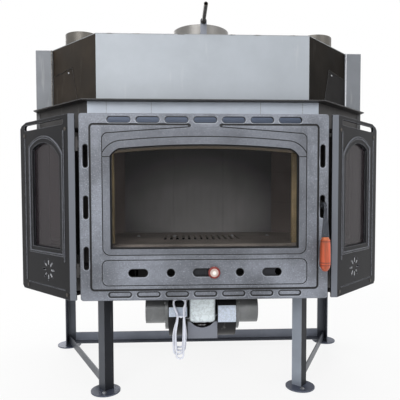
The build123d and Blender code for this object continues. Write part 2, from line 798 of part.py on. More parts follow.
def band_lines():
    """Arch band above the window, its shoulders and the outline of the lower panel."""
    x, z = (FIELD_HALF - BAND_SHOULDER[0], BAND_SHOULDER[1])
    bulge_x, bulge_z = (FIELD_HALF - BAND_BULGE[0], BAND_BULGE[1])
    arch = ThreePointArc((-x, z), (0, BAND_TOP), (x, z))
    inner = FIELD_HALF - LINE_WIDTH / 2
    lines = trace(arch, LINE_WIDTH)
    for side in (-1, 1):
        bend = ThreePointArc((side * inner, BAND_SIDE), (side * bulge_x, bulge_z), (side * x, z))
        lines += trace(bend, LINE_WIDTH)
        lines += trace(Line((side * inner, SHOULDER_LINE), (side * WINDOW_HALF, SHOULDER_LINE)), LINE_WIDTH)
    panel = rounded(-PANEL_HALF, PANEL_HALF, PANEL_BOTTOM, PANEL_TOP, PANEL_CORNER)
    return lines + (panel - offset(panel, amount=-LINE_WIDTH))


def row_places():
    """Middles of the slots in a row across the door."""
    return [(number - (ROW_COUNT - 1) / 2) * ROW_PITCH for number in range(ROW_COUNT)]


def door_plate():
    half = DOOR_WIDTH / 2
    plate = back(rounded(-half, half, DOOR_BOTTOM, DOOR_TOP, DOOR_CORNER), DOOR_FACE, DOOR_PLATE)
    front_edges = plate.faces().sort_by(Axis.Y)[0].edges()
    plate = chamfer(front_edges, DOOR_BEVEL)
    window = Plane(origin=(0, DOOR_FACE, 0), x_dir=(1, 0, 0), z_dir=(0, -1, 0)) * window_outline()
    plate -= extrude(window, amount=-DOOR_PLATE, taper=WINDOW_DRAFT)
    holes = Pos(0, CONTROL_Z) * SlotOverall(*KNOB_SLOT)
    for side in (-1, 1):
        holes += Pos(side * END_SLOT_X, CONTROL_Z) * SlotOverall(*END_SLOT)
        holes += Pos(side * AIR_HOLE_X, CONTROL_Z) * Circle(AIR_HOLE_R)
        for z in SIDE_SLOT_ZS:
            holes += Pos(side * SIDE_SLOT_X, z) * Rot(0, 0, 90) * SlotOverall(*SIDE_SLOT)
    recesses = []
    for x in row_places():
        holes += Pos(x, TOP_SLOT_Z) * SlotOverall(*TOP_SLOT)
        recesses.append(Pos(x, FOOT_SLOT_Z) * SlotOverall(*FOOT_SLOT))
    plate -= back(holes, DOOR_FACE, DOOR_PLATE)
    plate -= back(Sketch() + recesses, DOOR_FACE, FOOT_SLOT_DEPTH)
    plate -= back(field_lines(), DOOR_FACE, GROOVE_DEPTH)
    plate -= back(band_lines(), DOOR_FACE, LINE_DEPTH)
    outer = ROPE_R + SLIDE_GAP
    ribs = rope_ring(outer + RIB_WIDTH) - rope_ring(outer)
    ribs += rope_ring(-outer) - rope_ring(-outer - RIB_WIDTH)
    return plate + back(ribs, DOOR_BACK, RIB_HEIGHT)


def glass_outline(inset):
    """Outline of the door glass, drawn in by the given amount."""
    return rounded(
        -GLASS_HALF + inset, GLASS_HALF - inset, GLASS_BOTTOM + inset, GLASS_TOP - inset, GASKET_WIDTH / 2
    )


def glass_gasket():
    return back(glass_outline(0) - glass_outline(GASKET_WIDTH), DOOR_BACK, GASKET)


def door_glass():
    return back(glass_outline(0), DOOR_BACK + GASKET, GLASS)


def glass_clips():
    """Six clips that hold the glass from behind, each a foot beside it and a tongue over it."""
    clips = []
    glass_back = DOOR_BACK + GASKET + GLASS
    edges = [
        (x, z, turn)
        for x in (-GLASS_HALF / 2, GLASS_HALF / 2)
        for z, turn in ((GLASS_BOTTOM, 180), (GLASS_TOP, 0))
    ]
    middle = (GLASS_BOTTOM + GLASS_TOP) / 2
    edges += [(-GLASS_HALF, middle, 90), (GLASS_HALF, middle, -90)]
    half = CLIP_WIDTH / 2
    for x, z, turn in edges:
        foot = box((-half, half), (DOOR_BACK, glass_back), (SLIDE_GAP, CLIP_FOOT))
        tongue = box((-half, half), (glass_back, glass_back + CLIP_SHEET), (-CLIP_REACH, CLIP_FOOT))
        clips.append(Pos(x, 0, z) * Rot(0, -turn, 0) * (foot + tongue))
    return group(*clips)


def door_rope():
    """Round seal rope laid in a ring between its ribs."""
    path = back(rope_ring(0), 0, 1).faces().sort_by(Axis.Y)[0].outer_wire()
    path = Pos(0, ROPE_Y, 0) * path
    start = path @ 0
    section = Plane(origin=start, z_dir=path % 0) * Circle(ROPE_R)
    return sweep(section, path=path)


def hinge_outline(foot):
    """Plan of a hinge arm: a round eye about the pin, hulled with its foot."""
    eye = Pos(HINGE_X, HINGE_Y) * Circle(KNUCKLE_R)
    return make_hull((eye + foot).edges())


def hinge_lugs():
    """Knuckles of the door with the lugs that join them to the back of the plate."""
    edge = -DOOR_WIDTH / 2
    slot_side = -SIDE_SLOT_X - SIDE_SLOT[1] / 2
    foot = Pos((edge + slot_side) / 2, DOOR_BACK + KNUCKLE_R / 2) * Rectangle(slot_side - edge, KNUCKLE_R)
    face = hinge_outline(foot)
    face -= Pos(edge + DOOR_WIDTH / 4 - SLIDE_GAP, DOOR_BACK - DOOR_PLATE / 2) * Rectangle(
        DOOR_WIDTH / 2, DOOR_PLATE
    )
    face -= Pos(HINGE_X, HINGE_Y) * Circle(HINGE_PIN_R + RUN_GAP)
    return group(*[up(face, z - KNUCKLE_HALF, z + KNUCKLE_HALF) for z in HINGE_ZS])


def hinge_brackets():
    """Forked brackets on the firebox front, each with its pin."""
    near, far = HINGE_FOOT
    depth = HINGE_FOOT_DEPTH
    foot = Pos(-(near + far) / 2, BODY_FRONT - depth / 2) * Rectangle(far - near, depth)
    arm = hinge_outline(foot)
    brackets = []
    for z in HINGE_ZS:
        bracket = up(foot, z - HINGE_HALF, z + HINGE_HALF)
        bracket += up(arm, z - HINGE_HALF, z - KNUCKLE_HALF - SOFT_GAP)
        bracket += up(arm, z + KNUCKLE_HALF + SOFT_GAP, z + HINGE_HALF)
        bracket += rod_z(HINGE_X, HINGE_Y, (z - HINGE_HALF, z + HINGE_HALF), HINGE_PIN_R)
        brackets.append(bracket)
    return group(*brackets)


def shutter_guides():
    """Two rails that hold the air shutter against the back of the door."""
    gap_back = DOOR_BACK + SHUTTER_SHEET + 2 * SLIDE_GAP
    rails = []
    for side in (-1, 1):
        inner = SHUTTER_HALF_HEIGHT + SLIDE_GAP
        bar = sorted((CONTROL_Z + side * inner, CONTROL_Z + side * (inner + GUIDE_BAR)))
        lip = sorted((CONTROL_Z + side * (inner - GUIDE_LIP), CONTROL_Z + side * (inner + GUIDE_BAR)))
        rail = box((-GUIDE_HALF, GUIDE_HALF), (DOOR_BACK, gap_back), bar)
        rail += box((-GUIDE_HALF, GUIDE_HALF), (gap_back, gap_back + GUIDE_LIP_SHEET), lip)
        rails.append(rail)
    return group(*rails)


def air_shutter():
    """Perforated slide: its two end slots trade places against those of the door."""
    low = CONTROL_Z - SHUTTER_HALF_HEIGHT
    high = CONTROL_Z + SHUTTER_HALF_HEIGHT
    face = rounded(SHUTTER_LEFT, SHUTTER_RIGHT, low, high, SLIDE_GAP * 10)
    face -= Pos(-END_SLOT_X, CONTROL_Z) * SlotOverall(*END_SLOT)
    face -= Pos(END_SLOT_X + SHUTTER_OFFSET, CONTROL_Z) * SlotOverall(*END_SLOT)
    run = 2 * AIR_HOLE_R + SHUTTER_TRAVEL
    for side in (-1, 1):
        middle = side * AIR_HOLE_X + SHUTTER_TRAVEL / 2
        face -= Pos(middle, CONTROL_Z) * SlotOverall(run, 2 * AIR_HOLE_R)
    return back(face, DOOR_BACK + SLIDE_GAP, SHUTTER_SHEET)


def shutter_knob():
    """Round knob in front of the door on the stem that carries the shutter."""
    rear = DOOR_FACE - KNOB_GAP
    stem_back = DOOR_BACK + SLIDE_GAP
    profile = (
        (0, rear - stem_back),
        (KNOB_STEM_R, rear - stem_back),
        (KNOB_STEM_R, 0),
        (KNOB_R, 0),
        (KNOB_R, KNOB_DEPTH * 0.45),
        (KNOB_R - 3, KNOB_DEPTH * 0.7),
        (KNOB_R * 0.55, KNOB_DEPTH * 0.7),
        (KNOB_R * 0.5, KNOB_DEPTH),
        (0, KNOB_DEPTH),
    )
    return Pos(KNOB_X, rear, CONTROL_Z) * Rot(90, 0, 0) * turned(profile)


# Latch


def lever_path():
    """Middle line of the lever in y and z: out through the slot and down to the ferrule."""
    return FilletPolyline(
        (LATCH_Y, LATCH_Z), (GRIP_Y, LEVER_TOP), (GRIP_Y, LEVER_END), radius=LEVER_BEND_R
    )


def latch_lever():
    """Cast lever: flat where it passes the slot, spread towards the ferrule, with its tongue."""
    reach = LEVER_END_WIDTH
    strap = across(trace(lever_path(), LEVER_THICK), LATCH_X - reach / 2, reach)
    narrow = LEVER_WIDTH / 2
    wide = LEVER_END_WIDTH / 2
    top = LEVER_TOP + LEVER_THICK
    front_view = area(
        (-wide, LEVER_END),
        (wide, LEVER_END),
        (narrow, LEVER_TAPER_Z),
        (narrow, top),
        (-narrow, top),
        (-narrow, LEVER_TAPER_Z),
    )
    front = GRIP_Y - LEVER_THICK
    strap &= Pos(LATCH_X, 0, 0) * back(front_view, front, LATCH_Y - front)
    limits = (LATCH_X - narrow, LATCH_X + narrow)
    lever = strap + rod_x(limits, LATCH_Y, LATCH_Z, LEVER_EYE_R)
    boss = SIDE_SLOT[1] / 2
    lever += rod_x((LATCH_X - boss, LATCH_X + boss), LATCH_Y, LATCH_Z, LEVER_BOSS_R)
    tip = LATCH_Y + TONGUE_LENGTH - LEVER_THICK / 2
    height = (LATCH_Z - LEVER_THICK / 2, LATCH_Z + LEVER_THICK / 2)
    lever += box(limits, (LATCH_Y, tip), height)
    lever += rod_x(limits, tip, LATCH_Z, LEVER_THICK / 2)
    bore = (LATCH_X - reach, LATCH_X + reach)
    return lever - rod_x(bore, LATCH_Y, LATCH_Z, LATCH_PIN_R + RUN_GAP)


def latch_bracket():
    """Two ears behind the middle right slot, joined by the pin of the lever."""
    inner = SIDE_SLOT[1] / 2 + EAR_GAP
    z = (LATCH_Z - EAR_HALF_HEIGHT, LATCH_Z + EAR_HALF_HEIGHT)
    bracket = rod_x((LATCH_X - inner - EAR_SHEET, LATCH_X + inner + EAR_SHEET), LATCH_Y, LATCH_Z, LATCH_PIN_R)
    for side in (-1, 1):
        ear = sorted((LATCH_X + side * inner, LATCH_X + side * (inner + EAR_SHEET)))
        bracket += box(ear, (DOOR_BACK, DOOR_BACK + EAR_REACH), z)
    outer = DOOR_WIDTH / 2 - DOOR_BEVEL
    foot = (LATCH_X + inner, outer)
    return bracket + box(foot, (DOOR_BACK, DOOR_BACK + EAR_FOOT), z)


def latch_keeper():
    """Roller above the tongue on its axle and cheek, fixed to the firebox front."""
    z = LATCH_Z + LEVER_THICK / 2 + KEEPER_GAP + KEEPER_ROLLER_R
    roller_left = LATCH_X - KEEPER_ROLLER_LENGTH / 2
    cheek_right = roller_left - SOFT_GAP
    cheek = (cheek_right - KEEPER_SHEET, cheek_right)
    half = KEEPER_ROLLER_R + KEEPER_SHEET
    bracket = box(cheek, (KEEPER_Y - half, BODY_FRONT), (z - half, z + half))
    foot = (cheek[0], BODY_FRONT_HALF - KEEPER_SHEET)
    bracket += box(foot, (BODY_FRONT - KEEPER_SHEET, BODY_FRONT), (z - half, z + half))
    roller_x = (roller_left, roller_left + KEEPER_ROLLER_LENGTH)
    bracket += rod_x((cheek[0], roller_x[1] + KEEPER_SHEET / 2), KEEPER_Y, z, KEEPER_AXLE_R)
    head_x = (roller_x[1] + SOFT_GAP, roller_x[1] + KEEPER_SHEET / 2)
    bracket += rod_x(head_x, KEEPER_Y, z, KEEPER_AXLE_R + 1.5)
    roller = rod_x(roller_x, KEEPER_Y, z, KEEPER_ROLLER_R)
    roller -= rod_x(roller_x, KEEPER_Y, z, KEEPER_AXLE_R + RUN_GAP)
    return group(bracket, roller)


def latch_ferrule():
    bottom = LEVER_END - FERRULE_LENGTH
    wide = GRIP_R - FERRULE_STEP
    narrow = LEVER_END_WIDTH / 2
    profile = (
        (0, bottom),
        (wide, bottom),
        (wide, bottom + 0.3 * FERRULE_LENGTH),
        (narrow, bottom + 0.6 * FERRULE_LENGTH),
        (narrow, LEVER_END),
        (0, LEVER_END),
    )
    return Pos(LATCH_X, GRIP_Y, 0) * turned(profile)


def wooden_grip():
    """Turned handle with one ring near the top and two near the domed end."""
    top = LEVER_END - FERRULE_LENGTH
    low = top - GRIP_LENGTH
    widest = (GRIP_R, low + GRIP_BULGE)
    neck = (GRIP_R - GRIP_NECK_STEP, top)
    rise = GRIP_BULGE - GRIP_TIP_R
    flank_r = (GRIP_R**2 + rise**2 - GRIP_TIP_R**2) / (2 * (GRIP_R - GRIP_TIP_R))
    turn = degrees(atan2(rise, flank_r - GRIP_R))
    outline = TangentArc(widest, neck, tangent=(0, 1))
    flank = JernArc(widest, (0, -1), flank_r, -turn)
    outline += flank
    outline += JernArc(flank @ 1, flank % 1, GRIP_TIP_R, turn - 90)
    outline += Polyline((0, low), (0, top), neck)
    grip = revolve(make_face(Plane.XZ * outline), axis=Axis.Z)
    for z in (top - GRIP_TOP_RING, low + GRIP_LOW_RINGS[0], low + GRIP_LOW_RINGS[1]):
        slice_size = (grip & Pos(0, 0, z) * Cylinder(GRIP_R + 1, GRIP_RING)).bounding_box().size
        floor_r = slice_size.X / 2 - GRIP_RING
        grip -= Pos(0, 0, z) * (Cylinder(GRIP_R + 1, 2 * GRIP_RING) - Cylinder(floor_r, 2 * GRIP_RING))
    return Pos(LATCH_X, GRIP_Y, 0) * grip


# Side frames


def side_window():
    """Window of a side frame: its arch rises from the front edge to the crown."""
    front, rear = SIDE_WINDOW
    sides = Polyline(
        (front, SIDE_WINDOW_FRONT_TOP),
        (front, SIDE_WINDOW_BOTTOM),
        (rear, SIDE_WINDOW_BOTTOM),
        (rear, SIDE_WINDOW_REAR_TOP),
    )
    arch = ThreePointArc((rear, SIDE_WINDOW_REAR_TOP), SIDE_WINDOW_CROWN, (front, SIDE_WINDOW_FRONT_TOP))
    return make_face(sides + arch)


def side_frame_right():
    cut = SIDE_CORNER_CUT
    outline = area(
        (0, DOOR_BOTTOM),
        (SIDE_LENGTH - cut, DOOR_BOTTOM),
        (SIDE_LENGTH, DOOR_BOTTOM + cut),
        (SIDE_LENGTH, SIDE_REAR_TOP - cut),
        (SIDE_LENGTH - cut, SIDE_REAR_TOP),
        (SIDE_LENGTH - 4 * cut, DOOR_TOP),
        (0, DOOR_TOP),
    )
    outline -= Pos(*SIDE_VENT_PLACE) * SlotOverall(*SIDE_VENT)
    step = 360 / ROSE_SLOTS
    for number in range(ROSE_SLOTS):
        outline -= Pos(*ROSE_PLACE) * Rot(0, 0, number * step) * Pos(ROSE_R, 0) * SlotOverall(*ROSE_SLOT)
    frame = back(outline, 0, SIDE_PLATE)
    plane = Plane(origin=(0, 0, 0), x_dir=(1, 0, 0), z_dir=(0, -1, 0))
    frame -= extrude(plane * side_window(), amount=-SIDE_PLATE, taper=WINDOW_DRAFT)
    moulding = offset(side_window(), amount=SIDE_MOULDING, kind=Kind.INTERSECTION)
    line = trace(Line((SIDE_LEDGE[0], SIDE_LEDGE_Z), (SIDE_LEDGE[1], SIDE_LEDGE_Z)), LINE_WIDTH)
    frame -= back(line, 0, LINE_DEPTH)
    above = Pos(SIDE_LENGTH / 2, SIDE_BEAD_BOTTOM + SIDE_LENGTH) * Rectangle(SIDE_LENGTH, 2 * SIDE_LENGTH)
    for width, height in SIDE_BEAD:
        bead = offset(moulding, amount=width / 2) - offset(moulding, amount=-width / 2)
        frame += back(bead & above, -height, height)
    for place, low, high in SIDE_RIBS:
        rib = Pos(place, (low + high) / 2) * Rot(0, 0, 90) * SlotOverall(high - low, SIDE_RIB[0])
        frame += back(rib, -SIDE_RIB[1], SIDE_RIB[1])
    frame = side_place() * frame
    x, y = SIDE_CORNER
    inner = SIDE_PLATE / sqrt(2)
    lip = area(
        (x - SIDE_LIP, y),
        (x, y),
        (x - inner, y + inner),
        (x - inner, y + SIDE_PLATE),
        (x - SIDE_LIP, y + SIDE_PLATE),
    )
    return frame + up(lip, DOOR_BOTTOM, DOOR_TOP)


def side_glass_outline(inset):
    """Outline of a side glass inside its ring, drawn in by the given amount."""
    gap = SIDE_RING_WALL + SOFT_GAP + inset
    return rounded(
        SIDE_RING[0] + gap,
        SIDE_RING[1] - gap,
        SIDE_RING_BOTTOM + gap,
        SIDE_RING_TOP - gap,
        SIDE_RING_WALL,
    )


def side_glass_right():
    return side_place() * back(side_glass_outline(0), SIDE_PLATE + GASKET, GLASS)


def side_gasket_right():
    face = side_glass_outline(0) - side_glass_outline(GASKET_WIDTH)
    return side_place() * back(face, SIDE_PLATE, GASKET)


def side_screws():
    """Round-headed screws over the four posts of each side frame."""
    heads = []
    for s, z in SIDE_POSTS:
        crown = SCREW_HEAD_R * 0.6
        profile = ((0, 0), (SCREW_HEAD_R, 0), (SCREW_HEAD_R, 1), (crown, SCREW_HEAD), (0, SCREW_HEAD))
        head = side_place() * Pos(s, 0, z) * Rot(90, 0, 0) * turned(profile)
        heads += [head, left_of(head)]
    return group(*heads)


# Flue damper


def damper_strap():
    """Upright strap on the front edge of the hood with its foot and hole."""
    half = STRAP_WIDTH / 2
    face = rounded(-half, half, HOOD_TOP - half, STRAP_TOP, half - 1)
    face &= Pos(0, (HOOD_TOP + STRAP_TOP) / 2) * Rectangle(STRAP_WIDTH, STRAP_TOP - HOOD_TOP)
    face -= Pos(0, DAMPER_Z) * Circle(BUSH_BODY_R + RUN_GAP)
    strap = back(face, HOOD_FRONT, STRAP_SHEET)
    foot = (HOOD_FRONT + STRAP_SHEET, HOOD_FRONT + STRAP_FOOT)
    return strap + box((-half, half), foot, (HOOD_TOP, HOOD_TOP + STRAP_SHEET))


def damper_bush():
    flange = rod_y(0, (HOOD_FRONT - BUSH_FLANGE, HOOD_FRONT), DAMPER_Z, BUSH_R)
    body = rod_y(0, (HOOD_FRONT, HOOD_FRONT + BUSH_LENGTH), DAMPER_Z, BUSH_BODY_R)
    bore = (HOOD_FRONT - BUSH_FLANGE, HOOD_FRONT + BUSH_LENGTH)
    return flange + body - rod_y(0, bore, DAMPER_Z, DAMPER_ROD_R + RUN_GAP)


def damper_rod():
    """Spindle with an open tube end in front, where its key or knob goes."""
    rod = rod_y(0, (DAMPER_ROD_FRONT, FLUE_R + DAMPER_TAIL), DAMPER_Z, DAMPER_ROD_R)
    return rod - rod_y(0, (DAMPER_ROD_FRONT, HOOD_FRONT), DAMPER_Z, DAMPER_ROD_BORE)


def damper_flap():
    """Round flap with the sleeve that clasps the spindle."""
    low = DAMPER_Z - FLAP_SHEET / 2
    flap = rod_z(0, 0, (low, low + FLAP_SHEET), FLAP_R)
    reach = FLAP_R * 0.8
    flap += rod_y(0, (-reach, reach), DAMPER_Z, FLAP_SLEEVE_R)
    return flap - rod_y(0, (-FLAP_R, FLAP_R), DAMPER_Z, DAMPER_ROD_R + RUN_GAP / 2)


# Stand


def angle_iron(x, y, turn):
    """Upright angle iron whose corner edge stands at the given place and points away from turn."""
    face = Pos(ANGLE / 2, ANGLE_SHEET / 2) * Rectangle(ANGLE, ANGLE_SHEET)
    face += Pos(ANGLE_SHEET / 2, ANGLE / 2) * Rectangle(ANGLE_SHEET, ANGLE)
    return up(Pos(x, y) * Rot(0, 0, turn) * face, PAD_HEIGHT, BODY_BOTTOM)


def pad_centre(corner, turn):
    """Middle of a foot pad below the middle of its angle iron."""
    reach = ANGLE * 0.36
    angle = radians(turn + 45)
    return corner[0] + reach * cos(angle), corner[1] + reach * sin(angle)


def legs():
    right = [angle_iron(*FRONT_LEG, FRONT_TURN), angle_iron(*REAR_LEG, REAR_TURN)]
    return group(*right, *[left_of(leg) for leg in right])


def foot_pads():
    pads = []
    for corner, turn in ((FRONT_LEG, FRONT_TURN), (REAR_LEG, REAR_TURN)):
        x, y = pad_centre(corner, turn)
        profile = ((0, 0), (PAD_R - 1, 0), (PAD_R, 1), (PAD_R, PAD_HEIGHT), (0, PAD_HEIGHT))
        pad = Pos(x, y, 0) * turned(profile)
        pads += [pad, left_of(pad)]
    return group(*pads)


def stand_rails():
    """Two slanted side rails between the legs and the angle crossbar at the back."""
    front_x, front_y = pad_centre(FRONT_LEG, FRONT_TURN)
    rear_x, rear_y = pad_centre(REAR_LEG, REAR_TURN)
    way = atan2(rear_y - front_y, rear_x - front_x)
    reach = (ANGLE * cos(way), ANGLE * sin(way))
    run = Line((front_x - reach[0], front_y - reach[1]), (rear_x + reach[0], rear_y + reach[1]))
    rail = up(trace(run, RAIL_SHEET), RAIL_BOTTOM, RAIL_BOTTOM + RAIL_HEIGHT)
    carriers = legs()
    rail = max((rail - carriers).solids(), key=lambda piece: piece.volume)
    inner = REAR_LEG[0] - ANGLE
    front = REAR_LEG[1] - CROSSBAR_SIDE
    crossbar = box((-inner, inner), (front, REAR_LEG[1]), (CROSSBAR_BOTTOM, CROSSBAR_BOTTOM + ANGLE_SHEET))
    upright = (REAR_LEG[1] - ANGLE_SHEET, REAR_LEG[1])
    crossbar += box((-inner, inner), upright, (CROSSBAR_BOTTOM, CROSSBAR_BOTTOM + CROSSBAR_SIDE))
    return group(rail, left_of(rail), crossbar)


# Twin blower


def scroll_outline(inset, rise):
    """Spiral of a scroll housing in y and z, made of arcs that grow towards the outlet."""
    centre_y, centre_z = SCROLL_CENTRE
    cy = BLOWER_Y + centre_y
    cz = BLOWER_Z + centre_z
    small = SCROLL_R - SCROLL_STEP - inset
    middle = SCROLL_R - inset
    large = SCROLL_R + SCROLL_STEP - inset
    front = (cy - middle, cz)
    low = (cy, cz - middle)
    rear = (cy + large, cz + SCROLL_STEP)
    half = sqrt(0.5)
    front_low = (cy - middle * half, cz - middle * half)
    low_rear = (cy + large * half, cz + SCROLL_STEP - large * half)
    cut = radians(SCROLL_CUTOFF)
    mid_cut = (cut + pi) / 2
    start = cy - SCROLL_STEP
    cutoff = (start + small * cos(cut), cz + small * sin(cut))
    beside = (start + small * cos(mid_cut), cz + small * sin(mid_cut))
    top = BODY_BOTTOM + rise
    outline = Line((cutoff[0], top), cutoff)
    outline += ThreePointArc(cutoff, beside, front)
    outline += ThreePointArc(front, front_low, low)
    outline += ThreePointArc(low, low_rear, rear)
    outline += Polyline(rear, (rear[0], top), (cutoff[0], top))
    return make_face(outline)


def scroll(left, inlet_left):
    """Scroll housing with its spiral wall, its open outlet on top and its two side holes."""
    shell = across(scroll_outline(0, 0), left, SCROLL_WIDTH)
    inside = across(scroll_outline(SCROLL_SHEET, 1), left + SCROLL_SHEET, SCROLL_WIDTH - 2 * SCROLL_SHEET)
    shell -= inside
    sides = ((left, left + 2 * SCROLL_SHEET), (left + SCROLL_WIDTH - 2 * SCROLL_SHEET, left + SCROLL_WIDTH))
    inlet, drive = sides if inlet_left else sides[::-1]
    shell -= rod_x(inlet, BLOWER_Y, BLOWER_Z, SPIGOT_R - SPIGOT_WALL)
    return shell - rod_x(drive, BLOWER_Y, BLOWER_Z, MOTOR_BOSS_R + 4)


def inlet_spigots():
    """Round inlet spigots with their thick flanges on the outer faces of the scrolls."""
    inner = SPIGOT_R - SPIGOT_WALL
    end = SPIGOT_FLANGE + SPIGOT_LENGTH
    profile = (
        (inner, 0),
        (SPIGOT_FLANGE_R - 2, 0),
        (SPIGOT_FLANGE_R, 2),
        (SPIGOT_FLANGE_R, SPIGOT_FLANGE),
        (SPIGOT_R, SPIGOT_FLANGE),
        (SPIGOT_R, end),
        (inner, end),
    )
    outer_face = MOTOR_GAP / 2 + SCROLL_WIDTH
    right = Pos(BLOWER_X + outer_face, BLOWER_Y, BLOWER_Z) * Rot(0, 90, 0) * turned(profile)
    left = Pos(BLOWER_X - outer_face, BLOWER_Y, BLOWER_Z) * Rot(0, -90, 0) * turned(profile)
    return group(left, right)


def motor_body():
    """Motor between the scrolls: wound core, end bells and bearing bosses."""
    bell = MOTOR_GAP / 2 - BRACKET_SHEET
    core = MOTOR_CORE / 2
    bore = SHAFT_R + RUN_GAP
    half = (
        (MOTOR_R, core),
        (MOTOR_BELL_R, core + 3),
        (MOTOR_BELL_R - 2, bell),
        (MOTOR_BOSS_R, bell),
        (MOTOR_BOSS_R, bell + MOTOR_BOSS),
        (bore, bell + MOTOR_BOSS),
    )
    profile = [(r, -x) for r, x in reversed(half)] + list(half)
    return Pos(BLOWER_X, BLOWER_Y, BLOWER_Z) * Rot(0, 90, 0) * turned(profile)


def blower_bracket():
    """Saddle in front of the motor with the side flanges that carry it."""
    half = MOTOR_GAP / 2
    middle = (BRACKET_BOTTOM + BRACKET_TOP) / 2
    face = Pos(BLOWER_X, middle) * Rectangle(2 * half, BRACKET_TOP - BRACKET_BOTTOM)
    face -= Pos(BLOWER_X, BLOWER_Z) * Circle(BRACKET_NOTCH_R)
    bracket = back(face, BRACKET_FRONT, BRACKET_SHEET)
    z = (BRACKET_BOTTOM, BRACKET_TOP)
    for side in (-1, 1):
        x = sorted((BLOWER_X + side * (half - BRACKET_SHEET), BLOWER_X + side * half))
        bracket += box(x, (BRACKET_FRONT, BRACKET_FRONT + BRACKET_DEPTH), z)
    return bracket


def motor_cover():
    """Round-bottomed cover that hangs in front of the motor, with its shallow boss."""
    limits = (BLOWER_X - COVER_HALF, BLOWER_X + COVER_HALF)
    outer = rounded(*limits, COVER_BOTTOM, BODY_BOTTOM + COVER_CORNER, COVER_CORNER)
    middle = (COVER_BOTTOM + BODY_BOTTOM) / 2
    cap = Pos(BLOWER_X, middle) * Rectangle(2 * COVER_HALF, BODY_BOTTOM - COVER_BOTTOM)
    outer &= cap
    cover = back(outer, COVER_FRONT, COVER_DEPTH)
    inner = offset(outer, amount=-COVER_SHEET)
    cover -= back(inner, COVER_FRONT + COVER_SHEET, COVER_DEPTH)
    return cover + rod_y(BLOWER_X, (COVER_FRONT - COVER_BOSS, COVER_FRONT), BLOWER_Z, COVER_BOSS_R)


def rotor_shaft():
    end = MOTOR_GAP / 2 + SCROLL_WIDTH / 2 + IMPELLER_WIDTH / 2
    return rod_x((BLOWER_X - end, BLOWER_X + end), BLOWER_Y, BLOWER_Z, SHAFT_R)


def impeller():
    """Drum impeller drawn about Z: back plate, hub, forward-curved blades and end ring."""
    top = IMPELLER_WIDTH
    wheel = up(Circle(IMPELLER_R), 0, IMPELLER_SHEET) + up(Circle(IMPELLER_HUB_R), 0, top / 3)
    wheel += up(Circle(IMPELLER_R) - Circle(IMPELLER_R - 4), top - IMPELLER_SHEET, top)
    lean = radians(BLADE_LEAN)
    tip_r = IMPELLER_R - BLADE_SHEET
    middle_r = (tip_r + IMPELLER_INNER_R) / 2
    curve = ThreePointArc(
        (IMPELLER_INNER_R, 0),
        (middle_r * cos(lean / 4), middle_r * sin(lean / 4)),
        (tip_r * cos(lean), tip_r * sin(lean)),
    )
    blade = up(trace(curve, BLADE_SHEET), 0, top)
    step = 360 / IMPELLER_BLADES
    wheel += [Rot(0, 0, number * step) * blade for number in range(IMPELLER_BLADES)]
    return wheel - up(Circle(SHAFT_R + RUN_GAP / 2), -1, top)


def impellers():
    wheel = impeller()
    start = MOTOR_GAP / 2 + (SCROLL_WIDTH - IMPELLER_WIDTH) / 2
    right = Pos(BLOWER_X + start, BLOWER_Y, BLOWER_Z) * Rot(0, 90, 0) * wheel
    left = Pos(BLOWER_X - start, BLOWER_Y, BLOWER_Z) * Rot(0, -90, 0) * wheel
    return group(left, right)


# Supply lead


def cable_gland():
    """Tapered strain relief on the underside of the base plate."""
    end = BODY_BOTTOM - GLAND_LENGTH
    profile = (
        (0, end),
        (CORD_R + 1.2, end),
        (CORD_R + 3, end + 7),
        (GLAND_R, end + 8),
        (GLAND_R, BODY_BOTTOM),
        (0, BODY_BOTTOM),
    )
    return Pos(*GLAND_PLACE, 0) * turned(profile)


def lead_points():
    """Route of the free stretch, from the gland down to the waist of the hank."""
    x, y = GLAND_PLACE
    top = BODY_BOTTOM - GLAND_LENGTH
    end_x = HANK_X + HANK_WAIST_HALF
    return [
        (x, y, top),
        (x, y, top - LEAD_STRAIGHT),
        (x - LEAD_STEP[0], y + LEAD_STEP[1], top - 2 * LEAD_STRAIGHT),
        (end_x, HANK_Y, top - 3 * LEAD_STRAIGHT),
        (end_x, HANK_Y, HANK_WAIST),
    ]


def bend_radii(points):
    """Radius at each inner point: 0.45 of the shorter run over the tangent of half the turn."""
    radii = []
    for before, here, after in zip(points, points[1:], points[2:]):
        first = Vector(*here) - Vector(*before)
        second = Vector(*after) - Vector(*here)
        half_turn = radians(first.get_angle(second)) / 2
        radii.append(0.45 * min(first.length, second.length) / tan(half_turn))
    return radii


def tube(path):
    """Round cord along a path."""
    section_plane = Plane(origin=path @ 0, z_dir=path % 0)
    return sweep(section_plane * Circle(CORD_R), path=path)


def cord_lead():
    points = lead_points()
    radii = bend_radii(points)
    print("lead radii", [round(radius, 1) for radius in radii])
    path = FilletPolyline(*points, radius=radii)
    lead = tube(path)
    share = lead.volume / (pi * CORD_R**2 * path.length)
    print("lead length", round(path.length, 1), "volume share", round(share, 4))
    return lead


def tangent_arcs(start, start_way, end, end_way):
    """Two arcs that leave start along start_way and reach end along end_way."""
    chord = end - start
    ways = start_way + end_way
    spread = 2 * (1 - start_way.dot(end_way))
    if spread > 1e-6:
        along = chord.dot(ways)
        reach = (-along + sqrt(along**2 + spread * chord.dot(chord))) / spread
    else:
        reach = chord.dot(chord) / (4 * chord.dot(end_way))
    joint = (start + end + (start_way - end_way) * reach) / 2
    first = Edge.make_tangent_arc(start, start_way, joint)
    return [first, Edge.make_tangent_arc(joint, first % 1, end)]


